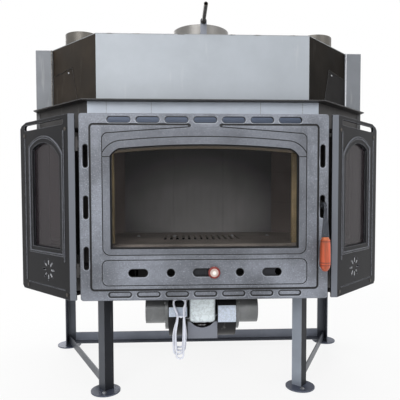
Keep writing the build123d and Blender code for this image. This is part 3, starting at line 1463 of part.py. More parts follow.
def hank_path():
    """One unbroken line through all loops: down on the right, up on the left, over the top."""
    down = Vector(0, 0, -1)
    rise = Vector(0, 0, 1)

    def place(side_half, layer, z):
        return Vector(HANK_X + side_half, HANK_Y + layer * HANK_PITCH, z)

    edges = []
    for loop in range(HANK_LOOPS):
        low = HANK_LOW + HANK_LOW_STEP * loop + HANK_BELLY_HALF
        waist = place(HANK_WAIST_HALF, loop, HANK_WAIST)
        belly = place(HANK_BELLY_HALF, loop, HANK_BELLY)
        foot = place(HANK_BELLY_HALF, loop, low)
        bottom = place(0, loop, low - HANK_BELLY_HALF)
        left_foot = place(-HANK_BELLY_HALF, loop, low)
        left_belly = place(-HANK_BELLY_HALF, loop, HANK_BELLY)
        left_waist = place(-HANK_WAIST_HALF, loop + 1, HANK_WAIST)
        left_ear = place(-HANK_EAR_HALF, loop + 1, HANK_EAR)
        top = place(0, loop + 1, HANK_EAR + HANK_EAR_HALF)
        ear = place(HANK_EAR_HALF, loop + 1, HANK_EAR)
        next_waist = place(HANK_WAIST_HALF, loop + 1, HANK_WAIST)
        edges += tangent_arcs(waist, down, belly, down)
        edges += [Edge.make_line(belly, foot)]
        edges += [Edge.make_tangent_arc(foot, down, bottom)]
        edges += [Edge.make_tangent_arc(bottom, Vector(-1, 0, 0), left_foot)]
        edges += [Edge.make_line(left_foot, left_belly)]
        edges += tangent_arcs(left_belly, rise, left_waist, rise)
        edges += tangent_arcs(left_waist, rise, left_ear, rise)
        edges += [Edge.make_tangent_arc(left_ear, rise, top)]
        edges += [Edge.make_tangent_arc(top, Vector(1, 0, 0), ear)]
        edges += tangent_arcs(ear, down, next_waist, down)
    end = place(HANK_WAIST_HALF, HANK_LOOPS, HANK_WAIST - HANK_TAIL)
    edges += [Edge.make_line(next_waist, end)]
    return Wire(edges)


def self_gap(path):
    """Least gap between stretches of the hank that aren't neighbours along it."""
    step = 2.5
    count = int(path.length / step)
    points = [path @ (number / count) for number in range(count + 1)]
    apart = int(8 * CORD_R / step)
    least = 1e9
    for first in range(len(points)):
        for second in range(first + apart, len(points)):
            least = min(least, (points[first] - points[second]).length)
    return least - 2 * CORD_R


def cord_hank():
    path = hank_path()
    hank = tube(path)
    print("hank length", round(path.length, 1), "least gap", round(self_gap(path), 2))
    print("hank volume share", round(hank.volume / (pi * CORD_R**2 * path.length), 4))
    return hank


side_frame = side_frame_right()
side_glass = side_glass_right()
side_gasket = side_gasket_right()
side_collar = side_collar_right()
side_lining = lining_right()
side_wall = firebox_wall_right()
hot_air_collar = air_collar_right()

pieces = {
    "base_plate": base_plate(),
    "firebox_front": firebox_front(),
    "firebox_wall_left": left_of(side_wall),
    "firebox_wall_right": side_wall,
    "firebox_back": firebox_back(),
    "firebox_floor": firebox_floor(),
    "flange_plate": flange_plate(),
    "outer_casing": outer_casing(),
    "hood": hood(),
    "hood_top": hood_top(),
    "flue_collar": flue_collar(),
    "air_collars": group(left_of(hot_air_collar), hot_air_collar),
    "door_collar": door_collar(),
    "side_collar_left": left_of(side_collar),
    "side_collar_right": side_collar,
    "lining_back": lining_back(),
    "side_linings": group(*side_lining.solids(), *left_of(side_lining).solids()),
    "baffle": baffle(),
    "hearth_plate": hearth_plate(),
    "grate": grate(),
    "ash_pan": ash_pan(),
    "door_plate": door_plate(),
    "door_glass": door_glass(),
    "glass_gasket": glass_gasket(),
    "glass_clips": glass_clips(),
    "door_seal_rope": door_rope(),
    "hinge_lugs": hinge_lugs(),
    "hinge_brackets": hinge_brackets(),
    "shutter_guides": shutter_guides(),
    "air_shutter": air_shutter(),
    "shutter_knob": shutter_knob(),
    "latch_bracket": latch_bracket(),
    "latch_lever": latch_lever(),
    "latch_ferrule": latch_ferrule(),
    "wooden_grip": wooden_grip(),
    "latch_keeper": latch_keeper(),
    "side_frame_left": left_of(side_frame),
    "side_frame_right": side_frame,
    "side_glass_left": left_of(side_glass),
    "side_glass_right": side_glass,
    "side_gaskets": group(side_gasket, left_of(side_gasket)),
    "side_screws": side_screws(),
    "damper_strap": damper_strap(),
    "damper_bush": damper_bush(),
    "damper_rod": damper_rod(),
    "damper_flap": damper_flap(),
    "legs": legs(),
    "stand_rails": stand_rails(),
    "foot_pads": foot_pads(),
    "scroll_left": scroll(SCROLL_LEFT_X, True),
    "scroll_right": scroll(SCROLL_RIGHT_X, False),
    "inlet_spigots": inlet_spigots(),
    "motor_body": motor_body(),
    "motor_cover": motor_cover(),
    "blower_bracket": blower_bracket(),
    "rotor_shaft": rotor_shaft(),
    "impellers": impellers(),
    "cable_gland": cable_gland(),
    "cord_lead": cord_lead(),
    "cord_hank": cord_hank(),
}

os.makedirs("parts", exist_ok=True)
for name, piece in pieces.items():
    export_step(piece, f"parts/{name}.step")
print(len(pieces), "pieces written")
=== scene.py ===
"""Looks of a three-sided fireplace cassette on its stand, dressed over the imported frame."""

from __future__ import annotations

import json
import logging
import math
import random
from dataclasses import dataclass
from enum import Enum
from typing import Callable, Dict, Iterable, List, Optional, Sequence, Tuple, Union

import bpy
from mathutils import Matrix, Vector

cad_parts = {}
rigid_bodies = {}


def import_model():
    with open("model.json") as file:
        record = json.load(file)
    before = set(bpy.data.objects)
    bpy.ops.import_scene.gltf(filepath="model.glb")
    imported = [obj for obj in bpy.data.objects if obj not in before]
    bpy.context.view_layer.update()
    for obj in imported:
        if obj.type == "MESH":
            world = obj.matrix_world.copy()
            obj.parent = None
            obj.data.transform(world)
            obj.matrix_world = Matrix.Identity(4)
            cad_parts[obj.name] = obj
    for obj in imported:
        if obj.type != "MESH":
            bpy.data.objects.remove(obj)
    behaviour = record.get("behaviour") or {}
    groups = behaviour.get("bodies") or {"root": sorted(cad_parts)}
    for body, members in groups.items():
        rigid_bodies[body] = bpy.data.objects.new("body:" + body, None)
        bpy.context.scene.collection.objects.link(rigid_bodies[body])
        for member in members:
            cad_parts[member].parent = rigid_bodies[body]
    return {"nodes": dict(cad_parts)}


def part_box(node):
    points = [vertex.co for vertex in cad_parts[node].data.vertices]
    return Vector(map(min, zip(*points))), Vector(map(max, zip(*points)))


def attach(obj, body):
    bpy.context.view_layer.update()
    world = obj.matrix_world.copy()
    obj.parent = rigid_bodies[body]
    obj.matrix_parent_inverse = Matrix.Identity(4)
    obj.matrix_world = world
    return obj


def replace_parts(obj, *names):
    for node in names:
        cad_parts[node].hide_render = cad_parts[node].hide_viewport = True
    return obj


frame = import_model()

log = logging.getLogger("cassette")

Pair = Tuple[float, float]
Point = Tuple[float, float, float]
Tone = Tuple[float, float, float]
Number = Union["Value", float]
Shape = Tuple[List[Vector], List[Sequence[int]]]

MM = 0.001
DIAGONAL = math.sqrt(0.5)


class Body(Enum):
    """Bodies of the frame that the added pieces ride on."""

    CASSETTE = "cassette"
    DOOR = "front_door"


class Side(Enum):
    """Left or right half of the cassette, as the factor of its X places."""

    LEFT = -1
    RIGHT = 1


# Shader tools


def linear(tone: Tone) -> Tuple[float, float, float, float]:
    """Scene colour of a tone written as it looks, each part from 0 to 255.

    Args:
        tone: Red, green and blue of the tone as seen on a screen.

    Returns:
        The linear colour with full alpha.
    """
    parts = []
    for part in tone:
        share = part / 255
        parts.append(share / 12.92 if share <= 0.04045 else ((share + 0.055) / 1.055) ** 2.4)
    return parts[0], parts[1], parts[2], 1.0


def scaled(tone: Tone, factor: float) -> Tone:
    """A tone made darker or lighter by a factor."""
    red, green, blue = tone
    return red * factor, green * factor, blue * factor


class Value:
    """A number socket that takes part in Python expressions."""

    def __init__(self, graph: "Graph", socket: bpy.types.NodeSocket) -> None:
        """Keeps the socket and the graph that new nodes go to."""
        self.graph = graph
        self.socket = socket

    def _math(self, operation: str, *terms: Number) -> "Value":
        """Adds a Math node over the given terms."""
        node = self.graph.node("ShaderNodeMath", {"operation": operation}, dict(enumerate(terms)))
        return Value(self.graph, node.outputs[0])

    def __add__(self, other: Number) -> "Value":
        """Sum of two values."""
        return self._math("ADD", self, other)

    __radd__ = __add__

    def __sub__(self, other: Number) -> "Value":
        """This value less another."""
        return self._math("SUBTRACT", self, other)

    def __rsub__(self, other: Number) -> "Value":
        """Another value less this one."""
        return self._math("SUBTRACT", other, self)

    def __mul__(self, other: Number) -> "Value":
        """Product of two values."""
        return self._math("MULTIPLY", self, other)

    __rmul__ = __mul__

    def __truediv__(self, other: Number) -> "Value":
        """This value over another."""
        return self._math("DIVIDE", self, other)

    def __pow__(self, other: Number) -> "Value":
        """This value raised to a power."""
        return self._math("POWER", self, other)

    def __abs__(self) -> "Value":
        """Size of the value without its sign."""
        return self._math("ABSOLUTE", self)

    def wrapped(self, pitch: float) -> "Value":
        """Value brought by whole pitches to between minus and plus half a pitch."""
        return self._math("WRAP", self, pitch / 2, -pitch / 2)

    def above(self, floor: Number) -> "Value":
        """The larger of this value and a floor."""
        return self._math("MAXIMUM", self, floor)

    def below(self, ceiling: Number) -> "Value":
        """The smaller of this value and a ceiling."""
        return self._math("MINIMUM", self, ceiling)

    def root(self) -> "Value":
        """Square root of the value."""
        return self._math("SQRT", self)

    def sine(self) -> "Value":
        """Sine of the value in radians."""
        return self._math("SINE", self)

    def step(self, low: float, high: float) -> "Value":
        """Smooth rise from 0 at low to 1 at high, or the fall from 1 to 0 where low is the larger.

        Args:
            low: Value at which the mask is 0.
            high: Value at which the mask is full.

        Returns:
            The mask, from 0 to 1.
        """
        if low > high:
            return 1 - self.step(high, low)
        inputs = {"Value": self, "From Min": low, "From Max": high, "To Min": 0.0, "To Max": 1.0}
        node = self.graph.node("ShaderNodeMapRange", {"interpolation_type": "SMOOTHSTEP"}, inputs)
        return Value(self.graph, node.outputs[0])


class Graph:
    """Nodes of one material or world."""

    def __init__(self, tree: bpy.types.NodeTree) -> None:
        """Starts from an empty node tree."""
        self.tree = tree
        tree.nodes.clear()

    def node(self, kind: str, settings: Optional[dict] = None,
             inputs: Optional[dict] = None) -> bpy.types.Node:
        """Adds one node: its type first, then its settings, then its inputs.

        Args:
            kind: Blender's type of the node.
            settings: Properties of the node, such as a Math node's operation.
            inputs: Values or links by the name or number of the socket.

        Returns:
            The new node.
        """
        node = self.tree.nodes.new(kind)
        for name, setting in (settings or {}).items():
            setattr(node, name, setting)
        for name, value in (inputs or {}).items():
            self._feed(node.inputs[name], value)
        return node

    def _feed(self, socket: bpy.types.NodeSocket, value: object) -> None:
        """Links a socket, or sets its number, vector or colour.

        Args:
            socket: Input socket of a node.
            value: Value or output socket to link, or a plain number, vector or colour.
        """
        if isinstance(value, Value):
            value = value.socket
        if isinstance(value, bpy.types.NodeSocket):
            self.tree.links.new(value, socket)
        else:
            socket.default_value = value

    def place(self) -> bpy.types.NodeSocket:
        """Point of the surface in the frame of its own object, in metres."""
        return self.node("ShaderNodeTexCoord").outputs["Object"]

    def normal(self) -> bpy.types.NodeSocket:
        """Outward direction of the surface in its object's frame."""
        return self.node("ShaderNodeTexCoord").outputs["Normal"]

    def split(self, vector: bpy.types.NodeSocket) -> Tuple[Value, Value, Value]:
        """X, Y and Z of a vector as three values."""
        outputs = self.node("ShaderNodeSeparateXYZ", None, {0: vector}).outputs
        return Value(self, outputs[0]), Value(self, outputs[1]), Value(self, outputs[2])

    def stretched(self, scale: Point) -> bpy.types.NodeSocket:
        """Place of the surface, scaled by an amount for each axis."""
        inputs = {"Vector": self.place(), "Scale": scale}
        return self.node("ShaderNodeMapping", {"vector_type": "POINT"}, inputs).outputs[0]

    def noise(self, scale: float, detail: float = 2.0, vector: Optional[object] = None,
              rough: float = 0.5) -> Value:
        """Soft noise from 0 to 1 over the surface.

        Args:
            scale: Cells per metre.
            detail: Octaves of finer noise.
            vector: Place to read, or None for the object's own place.
            rough: Weight of the finer octaves.

        Returns:
            The noise value.
        """
        inputs = {"Vector": vector or self.place(), "Scale": scale, "Detail": detail, "Roughness": rough}
        return Value(self, self.node("ShaderNodeTexNoise", None, inputs).outputs[0])

    def cells(self, scale: float) -> Value:
        """Distance to the nearest of scattered points, with a number of cells per metre."""
        node = self.node("ShaderNodeTexVoronoi", None, {"Vector": self.place(), "Scale": scale})
        return Value(self, node.outputs["Distance"])

    def mix(self, factor: Number, first: object, second: object) -> bpy.types.NodeSocket:
        """Blend of two colours by a factor.

        Args:
            factor: Share of the second colour.
            first: Tone or colour socket at factor 0.
            second: Tone or colour socket at factor 1.

        Returns:
            The socket of the mixed colour.
        """
        colours = [linear(colour) if isinstance(colour, tuple) else colour for colour in (first, second)]
        inputs = {0: factor, 6: colours[0], 7: colours[1]}
        return self.node("ShaderNodeMix", {"data_type": "RGBA"}, inputs).outputs[2]

    def edges(self, radius: float) -> Tuple[Value, bpy.types.NodeSocket]:
        """Mask of the sharp edges and the normal that rounds them.

        Args:
            radius: How far from an edge the rounding reaches, in metres.

        Returns:
            The mask of worn edges and the rounded normal.
        """
        rounded = self.node("ShaderNodeBevel", {"samples": 4}, {"Radius": radius}).outputs[0]
        flat = self.node("ShaderNodeNewGeometry").outputs["Normal"]
        product = self.node("ShaderNodeVectorMath", {"operation": "DOT_PRODUCT"}, {0: rounded, 1: flat})
        return (1 - Value(self, product.outputs["Value"])).step(0.02, 0.22), rounded

    def bump(self, height: Value, strength: float, distance: float,
             normal: Optional[object] = None) -> object:
        """Normal of a surface with the given relief.

        Args:
            height: Relief of the surface.
            strength: Share of the relief that shows.
            distance: Depth of the full relief in metres.
            normal: Normal that the relief starts from.

        Returns:
            The socket of the bumped normal.
        """
        inputs: Dict[object, object] = {"Height": height, "Strength": strength, "Distance": distance}
        if normal is not None:
            inputs["Normal"] = normal
        return self.node("ShaderNodeBump", None, inputs).outputs[0]

    def surface(self, **inputs: object) -> None:
        """Ends the tree in a principled surface.

        Args:
            inputs: Values or links by the name of the socket, its spaces written as low lines.
        """
        named = {name.replace("_", " "): value for name, value in inputs.items()}
        shader = self.node("ShaderNodeBsdfPrincipled", None, named)
        self.node("ShaderNodeOutputMaterial", None, {"Surface": shader.outputs[0]})


def outside(across: Value, up: Value, half_x: float, half_z: float) -> Value:
    """Distance of a place outside a rectangle.

    Args:
        across: Place across, from the rectangle's middle.
        up: Height, from the rectangle's middle.
        half_x: Half the rectangle's width.
        half_z: Half the rectangle's height.

    Returns:
        The distance in metres, and 0 inside.
    """
    reach_x = (abs(across) - half_x).above(0.0)
    reach_z = (abs(up) - half_z).above(0.0)
    return (reach_x * reach_x + reach_z * reach_z).root()


@dataclass(frozen=True)
class Finish:
    """Base of every finish: its name and how a material is made from it once."""

    name: str
    tone: Tone

    def shade(self, graph: Graph) -> None:
        """Builds the nodes of the finish, in each kind's own way."""
        raise NotImplementedError

    def material(self) -> bpy.types.Material:
        """Makes the material of this finish, the first time that it is asked for.

        Returns:
            The one material with the finish's name.
        """
        found = bpy.data.materials.get(self.name)
        if found is None:
            found = bpy.data.materials.new(self.name)
            found.use_nodes = True
            self.shade(Graph(found.node_tree))
        return found

    def dress(self, *nodes: str) -> None:
        """Puts the finish on nodes of the frame.

        Args:
            nodes: Names of the nodes.
        """
        for name in nodes:
            for place in frame["nodes"][name].material_slots:
                place.material = self.material()

    def dress_faces(self, name: str, chosen: Callable[[Vector, Vector], bool]) -> None:
        """Puts the finish on some faces of a node.

        Args:
            name: Node whose faces are looked at.
            chosen: Test of a face by its centre and its normal.
        """
        mesh = frame["nodes"][name].data
        mesh.materials.append(self.material())
        for face in mesh.polygons:
            if chosen(face.center, face.normal):
                face.material_index = len(mesh.materials) - 1


# Finishes: noise scales are cells per metre, and depths, reaches and places are metres

PAINT_EDGE = 0.001
DRAWN_DOWN = (1.0, 1.0, 0.12)
FACES_FRONT = (-0.8, -0.9)


@dataclass(frozen=True)
class SheetPaint(Finish):
    """Satin paint or mill skin on sheet steel, with faint clouds, rubs and lighter edges."""

    rough: float = 0.42
    metal: float = 0.25
    cloud: float = 0.12
    cloud_scale: float = 7.0
    edge: Tone = (205, 208, 212)
    edge_share: float = 0.35
    edge_reach: float = 0.0012
    shine: float = 0.5
    streak: float = 0.12
    streak_tone: Tone = (214, 214, 210)
    grain: float = 0.00006

    def colour(self, graph: Graph) -> object:
        """Colour of the paint before its edges."""
        clouds = graph.noise(self.cloud_scale, detail=4.0, rough=0.6).step(0.3, 0.75)
        return graph.mix(clouds, scaled(self.tone, 1 - self.cloud), self.tone)

    def shade(self, graph: Graph) -> None:
        """Clouded paint with rubbed edges and a fine skin.

        Args:
            graph: Graph of the material.
        """
        mask, rounded = graph.edges(self.edge_reach)
        streaks = graph.noise(55.0, detail=3.0, vector=graph.stretched(DRAWN_DOWN))
        colour = graph.mix(streaks.step(0.62, 0.8) * self.streak, self.colour(graph), self.streak_tone)
        colour = graph.mix(mask * self.edge_share, colour, self.edge)
        rough = self.rough + (graph.noise(24.0, detail=3.0) - 0.5) * 0.18
        skin = graph.noise(900.0) + streaks * 0.5
        normal = graph.bump(skin, 0.35, self.grain, rounded)
        graph.surface(Base_Color=colour, Roughness=rough, Metallic=self.metal, Normal=normal,
                      Specular_IOR_Level=self.shine)


@dataclass(frozen=True)
class BandPaint(SheetPaint):
    """Sheet of the body's front: its pale paint on the band that shows above the door, with painted bluish
    shade below the band, behind the door.
    """

    low: float = 0.885
    fade: float = 0.003
    painted_shade_tone: Tone = (84, 95, 116)

    def colour(self, graph: Graph) -> object:
        """Pale band over painted bluish shade behind the door."""
        # Painted shade: below the band the sheet turns to a darker bluish tone.
        band = graph.split(graph.place())[2].step(self.low, self.low + self.fade)
        return graph.mix(band, self.painted_shade_tone, super().colour(graph))


@dataclass(frozen=True)
class CastIron(Finish):
    """Sand-cast iron under heat-proof paint: fine pits, soft clouds, and lighter edges of rubbed paint that,
    with a light edge tone, are also a painted highlight.
    """

    rough: float = 0.5
    metal: float = 0.3
    edge: Tone = (176, 182, 192)
    edge_share: float = 0.55
    edge_reach: float = 0.0016
    dark_share: float = 0.22
    pits: float = 0.00035
    grain_tone: Optional[Tone] = None
    grain_scale: float = 420.0
    shine: float = 0.5

    def tint(self, graph: Graph, colour: object) -> object:
        """Colour of the iron after what its place on the piece adds, here nothing."""
        return colour

    def shade(self, graph: Graph) -> None:
        """Granular skin with lighter edges and darker hollows of colour.

        Args:
            graph: Graph of the material.
        """
        mask, rounded = graph.edges(self.edge_reach)
        sand = graph.noise(self.grain_scale, detail=4.0, rough=0.65)
        lumps = graph.noise(60.0, detail=3.0)
        clouds = graph.noise(6.0, detail=5.0, rough=0.62)
        dark = scaled(self.tone, 1 - self.dark_share)
        light = tuple(min(255.0, part * 1.08 + 3) for part in self.tone)
        colour = graph.mix(clouds.step(0.3, 0.7), dark, light)
        colour = graph.mix(sand.step(0.54, 0.7) * 0.4, colour, self.grain_tone or self.edge)
        colour = graph.mix(sand.step(0.46, 0.32) * 0.5, colour, dark)
        # Lighter edges: rubbed paint, and a painted highlight where the edge tone is light.
        colour = graph.mix(mask * self.edge_share, colour, self.edge)
        rough = self.rough + (clouds - 0.5) * 0.2 - mask * 0.12
        normal = graph.bump(sand + lumps * 0.8, 0.55, self.pits, rounded)
        graph.surface(Base_Color=self.tint(graph, colour), Roughness=rough, Metallic=self.metal,
                      Normal=normal, Specular_IOR_Level=self.shine)


@dataclass(frozen=True)
class SlotRow:
    """Slots of one kind in the door: middle, end radius, half of the straight run, and how they repeat."""

    x: float
    z: float
    radius: float
    run_x: float = 0.0
    run_z: float = 0.0
    pitch: float = 0.0
    reach: float = 0.0

    def place(self, x: Value, z: Value) -> Tuple[Value, Value]:
        """Place from the middle of the nearest slot of this kind.

        Args:
            x: Place across the door.
            z: Height of the place.

        Returns:
            The place across and the height, both from the slot's middle.
        """
        across = abs(x) - self.x if self.x else x
        up = z - self.z
        if self.pitch and self.run_x:
            across = self._repeated(across)
        elif self.pitch:
            up = self._repeated(up)
        return across, up

    def _repeated(self, place: Value) -> Value:
        """Place in the nearest pitch of the row, pushed far away past the row's reach."""
        return place.wrapped(self.pitch) + (abs(place) - self.reach).step(0.0, PAINT_EDGE)


DOOR_SLOTS = (
    SlotRow(0.0, 0.8675, 0.0085, run_x=0.0255, pitch=0.0857, reach=0.3),
    SlotRow(0.0, 0.3445, 0.0080, run_x=0.0260, pitch=0.0857, reach=0.3),
    SlotRow(0.356, 0.6075, 0.0068, run_z=0.0273, pitch=0.1525, reach=0.22),
    SlotRow(0.2025, 0.4095, 0.0115, run_x=0.0170),
    SlotRow(0.1045, 0.4095, 0.0114),
    SlotRow(0.0, 0.4095, 0.0115, run_x=0.0255),
)


@dataclass(frozen=True)
class DoorIron(CastIron):
    """Cast iron of the door plate: painted shade in black on its cast lines and on the walls and rims of its
    slots, and a painted highlight on the slots' lower lips.
    """

    face: float = -0.297
    middle: float = 0.606
    half: Pair = (0.3695, 0.2745)
    groove_half: Pair = (0.3325, 0.2375)
    groove_round: float = 0.010
    groove_line: Pair = (0.0036, 0.0028)
    groove_break: Pair = (0.047, 0.8)
    groove_floor: Pair = (0.0005, 0.001)
    groove_head: float = 0.84
    wall_depth: Pair = (0.0004, 0.0009)
    floor_depth: Pair = (0.0025, 0.0028)
    field_half: float = 0.308
    field_low: Pair = (0.455, 0.47)
    field_high: Pair = (0.86, 0.83)
    lip_out: float = 0.003
    lip_line: Pair = (0.0012, 0.0004)
    rim_in: float = 0.0007
    rim_line: Pair = (0.0026, 0.0017)
    shade_line_tone: Tone = (17, 17, 19)
    field_tone: Tone = (74, 76, 82)
    lip_highlight_tone: Tone = (206, 212, 222)
    head_floor_light_tone: Tone = (78, 96, 128)
    shade_share: float = 0.96

    def tint(self, graph: Graph, colour: object) -> object:
        """Darker field, painted shade in black on the cast lines, slot walls and slot rims with the floors of
        the foot slots left out, a painted highlight on the slots' lower lips and painted bluish light on the
        floors at the door's head.

        Args:
            graph: Graph of the material.
            colour: Colour of the plain iron.

        Returns:
            The colour of the door's iron.
        """
        x, y, z = graph.split(graph.place())
        _, along, _ = graph.split(graph.normal())
        front = along.step(*FACES_FRONT)
        field = self._within(x, self.field_half) * z.step(*self.field_low)
        colour = graph.mix(field * z.step(*self.field_high) * 0.42, colour, self.field_tone)
        # Painted bluish light on the recess floors at the door's head.
        head_floor_light = z.step(self.groove_head, self.groove_head + 0.01) * front
        head_floor_light = head_floor_light * self._deeper(y, self.groove_floor)
        colour = graph.mix(head_floor_light * 0.55, colour, self.head_floor_light_tone)
        # Painted shade: the cast lines are painted black.
        beyond = outside(x, z - self.middle, *self.groove_half)
        groove_shade = abs(beyond - self.groove_round).step(*self.groove_line)
        gap_half, gap_foot = self.groove_break
        whole = abs(x).step(gap_half, gap_half + PAINT_EDGE) + z.step(gap_foot, gap_foot - 0.01)
        colour = graph.mix(groove_shade * whole.below(1.0) * self.shade_share, colour, self.shade_line_tone)
        # Painted highlight on the lower lip of each slot.
        away, rise = self._rims(x, z)
        lip_highlight = abs(away - self.lip_out).step(*self.lip_line) * rise.step(0.1, -0.5)
        colour = graph.mix(lip_highlight * 0.3, colour, self.lip_highlight_tone)
        # Painted shade: the walls and rims of the slots are painted black, their deep floors left out.
        plate = self._within(x, self.half[0]) * self._within(z - self.middle, self.half[1])
        floor = self._deeper(y, self.floor_depth) * front
        walls = self._deeper(y, self.wall_depth) * along.step(0.6, 0.4) * plate * (1 - floor)
        colour = graph.mix(walls * self.shade_share, colour, self.shade_line_tone)
        rim = abs(away + self.rim_in).step(*self.rim_line)
        return graph.mix(rim * self.shade_share, colour, self.shade_line_tone)

    @staticmethod
    def _within(place: Value, half: float) -> Value:
        """Mask of what lies within half a width of the middle."""
        return abs(place).step(half + PAINT_EDGE, half)

    def _deeper(self, y: Value, depth: Pair) -> Value:
        """Mask of what lies behind the door's face, full at the second of two depths."""
        return y.step(self.face + depth[0], self.face + depth[1])

    @staticmethod
    def _rims(x: Value, z: Value) -> Tuple[Value, Value]:
        """Distance outside the nearest slot's rim, and the share of its height above its middle.

        Args:
            x: Place across the door.
            z: Height of the place.

        Returns:
            The distance in metres, and the height from -1 at the slot's foot to 1 at its head.
        """
        nearest: Optional[Value] = None
        height: Optional[Value] = None
        for row in DOOR_SLOTS:
            across, up = row.place(x, z)
            away = outside(across, up, row.run_x, row.run_z) - row.radius
            share = (up / (row.run_z + row.radius)).above(-1.5).below(1.5) * away.step(0.02, 0.01)
            nearest = away if nearest is None else nearest.below(away)
            height = share if height is None else height + share
        return nearest, height


@dataclass(frozen=True)
class FrameIron(CastIron):
    """Cast iron of a side frame: black on its slanted face, with painted light on the lip that faces the
    front and on the walls of the rose.
    """

    lip_highlight_tone: Tone = (116, 120, 128)
    lip_highlight_share: float = 0.85
    corner: Pair = (0.408, -0.286)
    rose_run: float = 0.125
    rose_height: float = 0.406
    rose_radius: float = 0.029
    rose_light_tone: Tone = (214, 216, 220)
    rose_light_share: float = 0.9

    def tint(self, graph: Graph, colour: object) -> object:
        """Painted light on the faces that look straight to the front, and on the walls of the rose.

        Args:
            graph: Graph of the material.
            colour: Colour of the plain iron.

        Returns:
            The colour of the frame's iron.
        """
        across, along, _ = graph.split(graph.normal())
        x, y, z = graph.split(graph.place())
        # Painted light on the walls of the rose and on the lip that faces the front.
        run = (abs(x) - self.corner[0] + y - self.corner[1]) * DIAGONAL
        away = ((run - self.rose_run) ** 2.0 + (z - self.rose_height) ** 2.0).root()
        side = x.step(-PAINT_EDGE, PAINT_EDGE) * 2 - 1
        facing_out = abs((across * side - along) * DIAGONAL)
        walls = away.step(self.rose_radius + PAINT_EDGE, self.rose_radius) * facing_out.step(0.6, 0.4)
        colour = graph.mix(walls * self.rose_light_share, colour, self.rose_light_tone)
        return graph.mix(along.step(-0.93, -0.97) * self.lip_highlight_share, colour, self.lip_highlight_tone)


@dataclass(frozen=True)
class FireGlass(Finish):
    """Clear ceramic glass with a thin smoky film and faint smears."""

    alpha: float = 0.2
    rough: float = 0.05
    shine: float = 0.5

    def smears(self, graph: Graph) -> Value:
        """Long soft smears from 0 to 1."""
        return graph.noise(9.0, detail=5.0, vector=graph.stretched((1.0, 1.0, 0.35)), rough=0.65)

    def shade(self, graph: Graph) -> None:
        """See-through film with faint smears.

        Args:
            graph: Graph of the material.
        """
        smears = self.smears(graph)
        alpha = self.alpha + smears.step(0.5, 0.85) * 0.12
        rough = self.rough + smears.step(0.45, 0.8) * 0.1
        graph.surface(Base_Color=linear(self.tone), Roughness=rough, Alpha=alpha, IOR=1.5,
                      Specular_IOR_Level=self.shine)


@dataclass(frozen=True)
class DoorGlass(FireGlass):
    """Glass of the door, black along the rim of the window, with a painted bronze glint under its arch."""

    half: float = 0.2795
    low: float = 0.4870
    arch_centre: float = -1.967
    arch_radius: float = 2.7572
    rim_fade: float = 0.0012
    glint_width: Pair = (0.0088, 0.006)
    rim_tone: Tone = (9, 9, 10)
    bronze_glint: Tone = (66, 56, 42)

    def shade(self, graph: Graph) -> None:
        """Clear film that turns opaque towards the rim.

        Args:
            graph: Graph of the material.
        """
        x, _, z = graph.split(graph.place())
        up = z - self.arch_centre
        high = (x * x + up * up).root()
        foot = z.step(self.low, self.low - self.rim_fade)
        rim = abs(x).step(self.half, self.half + self.rim_fade).above(foot)
        rim = rim.above(high.step(self.arch_radius, self.arch_radius + self.rim_fade))
        # Painted bronze glint in a band under the arch.
        start, full = self.glint_width
        glint = high.step(self.arch_radius - start, self.arch_radius - full) * (1 - rim)
        colour = graph.mix(rim, graph.mix(glint, self.tone, self.bronze_glint), self.rim_tone)
        alpha = (rim + glint * 0.6 + self.alpha + self.smears(graph).step(0.5, 0.85) * 0.08).below(1.0)
        graph.surface(Base_Color=colour, Roughness=0.08 + rim * 0.4, Alpha=alpha, IOR=1.5)


@dataclass(frozen=True)
class Brick(Finish):
    """Pressed lining board or brick: speckled, chalky and slightly worn."""

    speck: Tone = (120, 96, 80)
    fleck: float = 0.45
    streak: float = 0.0
    cloud: float = 0.28
    relief: float = 0.0008
    edge_reach: float = 0.002
    outer_shade: float = 0.0
    outer_shade_tone: Tone = (24, 23, 23)
    fire_height: float = 0.585
    fire_half: Pair = (0.30, 0.19)

    def shade(self, graph: Graph) -> None:
        """Speckled board with chipped edges, and painted shade away from the middle of the fire.

        Args:
            graph: Graph of the material.
        """
        mask, rounded = graph.edges(self.edge_reach)
        grains = graph.cells(260.0)
        clouds = graph.noise(8.0, detail=5.0, rough=0.6)
        dark = scaled(self.tone, 1 - self.cloud)
        colour = graph.mix(clouds.step(0.3, 0.7), dark, self.tone)
        streaks = graph.noise(70.0, detail=4.0, vector=graph.stretched(DRAWN_DOWN), rough=0.6)
        colour = graph.mix(streaks.step(0.35, 0.7) * self.streak, colour, dark)
        colour = graph.mix(grains.step(0.32, 0.16) * self.fleck, colour, self.speck)
        colour = graph.mix(mask * self.fleck, colour, self.speck)
        # Painted shade, darker away from the middle of the fire.
        x, _, z = graph.split(graph.place())
        half_x, half_z = self.fire_half
        far = ((x / half_x) ** 2.0 + ((z - self.fire_height) / half_z) ** 2.0).root()
        colour = graph.mix(far.step(0.45, 1.35) * self.outer_shade, colour, self.outer_shade_tone)
        normal = graph.bump(grains + graph.noise(90.0, detail=4.0), 0.5, self.relief, rounded)
        graph.surface(Base_Color=colour, Roughness=0.9, Normal=normal)


